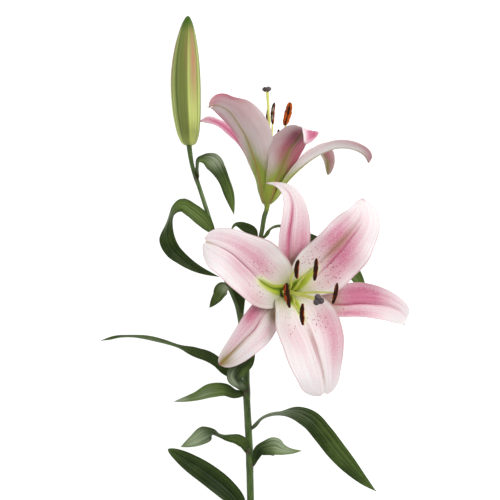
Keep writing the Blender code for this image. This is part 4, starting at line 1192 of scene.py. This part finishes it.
class LILY_OT_stamens(bpy.types.Operator):
    """Builds the filaments and anthers of both flowers"""
    bl_idname = "lily.stamens"
    bl_label = "Stamens"

    def execute(self, context):
        for side, flower in FLOWERS.items():
            turn = turn_to(flower["axis"], flower["up"])
            for number, anther in enumerate(flower["anthers"], 1):
                self.stamen(side, np.asarray(flower["base"], float), turn, number, anther)
        return {"FINISHED"}

    def stamen(self, side, base, turn, number, anther):
        """An anther between two points, and the filament from the flower's centre to its side."""
        one, two, radius, azimuth = anther
        one, two = np.asarray(one, float), np.asarray(two, float)
        middle, length = (one + two) / 2, np.linalg.norm(two - one)
        a = math.radians(azimuth)
        start = base + turn @ (3.1 * math.cos(a), 3.1 * math.sin(a), -0.4)
        rise = base + turn @ (4 * math.cos(a), 4 * math.sin(a), 14)
        long, way = unit(two - one), unit(middle - rise)
        seat = radius + 0.1 + 0.6 * abs(way @ long)
        end = middle - unit(way - long * (way @ long)) * seat
        bend = 0.45 * start + 0.55 * end + 0.6 * turn[:, 2]
        thick = bpy.context.scene.lily_sizes.filament / MM
        line = [(*start, thick), (*rise, thick), (*bend, thick * 0.9), (*end, thick * 0.5)]
        made = tube(smooth_path(line, FILAMENT_RINGS), FILAMENT_SIDES)
        smooth(made, 50)
        settle(made, f"{side}_filament_{number}", "filament", once(filament_skin))
        across = unit(np.cross(long, way))
        facing = np.stack([across, np.cross(long, across), long], 1)
        self.anther(f"{side}_anther_{number}", matrix_of(facing, middle), radius, length, number)

    def anther(self, label, place, radius, length, number):
        """Two pollen sacs side by side with a seam between them, slightly bent."""
        made, x, y, z = add_ball(ANTHER_SIDES, ANTHER_RINGS)
        angle = np.arctan2(y, x)
        body = np.sqrt(np.maximum(1 - z**2, 0)) ** 0.75
        seam = hill(np.abs(np.abs(angle) - np.pi / 2), 0, 0.28)
        lumps = 0.05 * np.sin(9 * z + number) + 0.04 * np.sin(17 * z + 2 * angle + 2 * number)
        wide = radius * body * (1 + lumps) * (1 - 0.34 * seam)
        bend = 0.48 * radius * np.sin(number * 1.7) * (1 - z**2)
        points = np.stack([wide * np.cos(angle) + bend - bend.mean(), 0.8 * wide * np.sin(angle),
                           z * length / 2], 1)
        move_vertices(made, points, place)
        brighter = 0.45 if number in TURNED_ANTHERS else -0.4
        flank = np.abs(np.cos(angle)) ** 1.5 * (0.72 + brighter * np.sign(np.cos(angle)))
        flank = np.clip(flank * (0.8 + 0.35 * np.sin(7 * z + 3 * number)) - 0.6 * seam, 0, 1)
        if label == OPEN_ANTHER:
            flank = 0.62 - 0.6 * seam + 0.15 * np.sin(5 * z)
        windows = 0.6 * (label == PALE_ANTHER) * hill(angle, -np.pi / 2, 0.35) * hill(np.abs(z), 0.36, 0.2)
        mark(made, "anther_marks", painted(flank, windows))
        smooth(made)
        settle(made, label, "anther", once(anther_skin))


class LILY_OT_pistils(bpy.types.Operator):
    """Builds the ovary, style and three-lobed stigma of both flowers"""
    bl_idname = "lily.pistils"
    bl_label = "Pistils"

    def execute(self, context):
        for side, flower in FLOWERS.items():
            turn = turn_to(flower["axis"], flower["up"])
            line = [(*(flower["base"] + turn @ place), 1) for place in flower["pistil"]]
            path = smooth_path(line, STYLE_RINGS)
            share, radii = np.asarray(STYLE_RADIUS).T
            path[:, 3] = np.interp(np.linspace(0, 1, STYLE_RINGS), share, radii) * flower["style_share"]
            style = tube(path, STYLE_SIDES)
            style.data.materials.append(once(filament_skin))
            place = matrix_of(turn_to(path[-1, :3] - path[-2, :3], flower["up"]), path[-1, :3])
            size = context.scene.lily_sizes.stigma / MM * flower["stigma_share"]
            made = join(style, self.stigma(place, size))
            smooth(made, 60)
            settle(made, f"{side}_pistil", "pistil")
        return {"FINISHED"}

    def stigma(self, place, size):
        """A flattened ball with three lobes, clefts between them and a dimple on top."""
        made, x, y, z = add_ball(STIGMA_SIDES, STIGMA_RINGS)
        rim = np.hypot(x, y)
        lobes = 0.5 + 0.5 * np.cos(3 * (np.arctan2(y, x) - math.radians(105)))
        wide = size * (0.7 + 0.45 * lobes**0.45)
        cleft = (1 - lobes**0.4) * np.minimum(rim * 2, 1)
        height = 2.6 * z * (1 - 0.7 * cleft) + 0.5 - 1.1 * hill(rim, 0, 0.25) * (z > 0)
        move_vertices(made, np.stack([wide * x, wide * y, height], 1), place)
        made.data.materials.append(once(stigma_skin))
        return made


class LILY_OT_stage(bpy.types.Operator):
    """Adds the pale floor, the soft lights and the camera above the flower"""
    bl_idname = "lily.stage"
    bl_label = "Stage"

    def execute(self, context):
        scene = context.scene
        stage = scene.lily_stage
        choose()
        bpy.ops.mesh.primitive_plane_add(size=FLOOR_WIDTH, location=(0, 0, CAD_BOX[0][2] - FLOOR_GAP))
        floor = context.active_object
        floor.name = "floor"
        p = Paint("floor")
        p.colour = stage.floor
        p.set(Emission_Color=(1, 1, 1), Emission_Strength=FLOOR_GLOW)
        p.cover(shaded(stage.floor, 0.9), p.times(p.noise("Object", (3, 3, 3), 2), 0.1))
        p.finish(0.9)
        floor.data.materials.append(p.material)
        for name, (location, width) in LAMPS.items():
            bpy.ops.object.light_add(type="AREA", location=location)
            lamp = context.active_object
            lamp.name = name
            lamp.data.size = width
            lamp.data.energy = getattr(stage, name)
            lamp.rotation_euler = (Vector(LIT_PLACE) - lamp.location).to_track_quat("-Z", "Y").to_euler()
        world = bpy.data.worlds.new("room")
        world.use_nodes = True
        sky = world.node_tree.nodes["Background"]
        sky.inputs["Color"].default_value = (1, 1, 1, 1)
        sky.inputs["Strength"].default_value = stage.sky
        scene.world = world
        bpy.ops.object.camera_add(location=(*CAMERA_PLACE, stage.height), rotation=(0, 0, 0))
        camera = context.active_object
        camera.data.lens = stage.lens
        camera.data.sensor_width = SENSOR_WIDTH
        scene.camera = camera
        scene.view_settings.view_transform = "Standard"
        return {"FINISHED"}


class LILY_PT_panel(bpy.types.Panel):
    """Lists the steps and their sizes and colours"""
    bl_label = "Cut Lily"
    bl_idname = "LILY_PT_panel"
    bl_space_type = "VIEW_3D"
    bl_region_type = "UI"
    bl_category = "Lily"

    def draw(self, context):
        for step in STEPS:
            self.layout.operator(step.bl_idname)
        for name in GROUPS:
            group = getattr(context.scene, name)
            box = self.layout.box()
            for setting in group.__annotations__:
                box.prop(group, setting)


GROUPS = {"lily_sizes": LilySizes, "lily_colours": LilyColours, "lily_stage": LilyStage}
STEPS = (LILY_OT_stem, LILY_OT_bud, LILY_OT_leaves, LILY_OT_tepals, LILY_OT_stamens, LILY_OT_pistils,
         LILY_OT_stage)
CLASSES = (*GROUPS.values(), *STEPS, LILY_PT_panel)


def register():
    for item in CLASSES:
        bpy.utils.register_class(item)
    for name, group in GROUPS.items():
        setattr(bpy.types.Scene, name, bpy.props.PointerProperty(type=group))


def unregister():
    for name in GROUPS:
        delattr(bpy.types.Scene, name)
    for item in reversed(CLASSES):
        bpy.utils.unregister_class(item)


def main():
    register()
    bpy.ops.lily.stem()
    bpy.ops.lily.bud()
    bpy.ops.lily.leaves()
    bpy.ops.lily.tepals()
    bpy.ops.lily.stamens()
    bpy.ops.lily.pistils()
    bpy.ops.lily.stage()


if __name__ == "__main__":
    main()
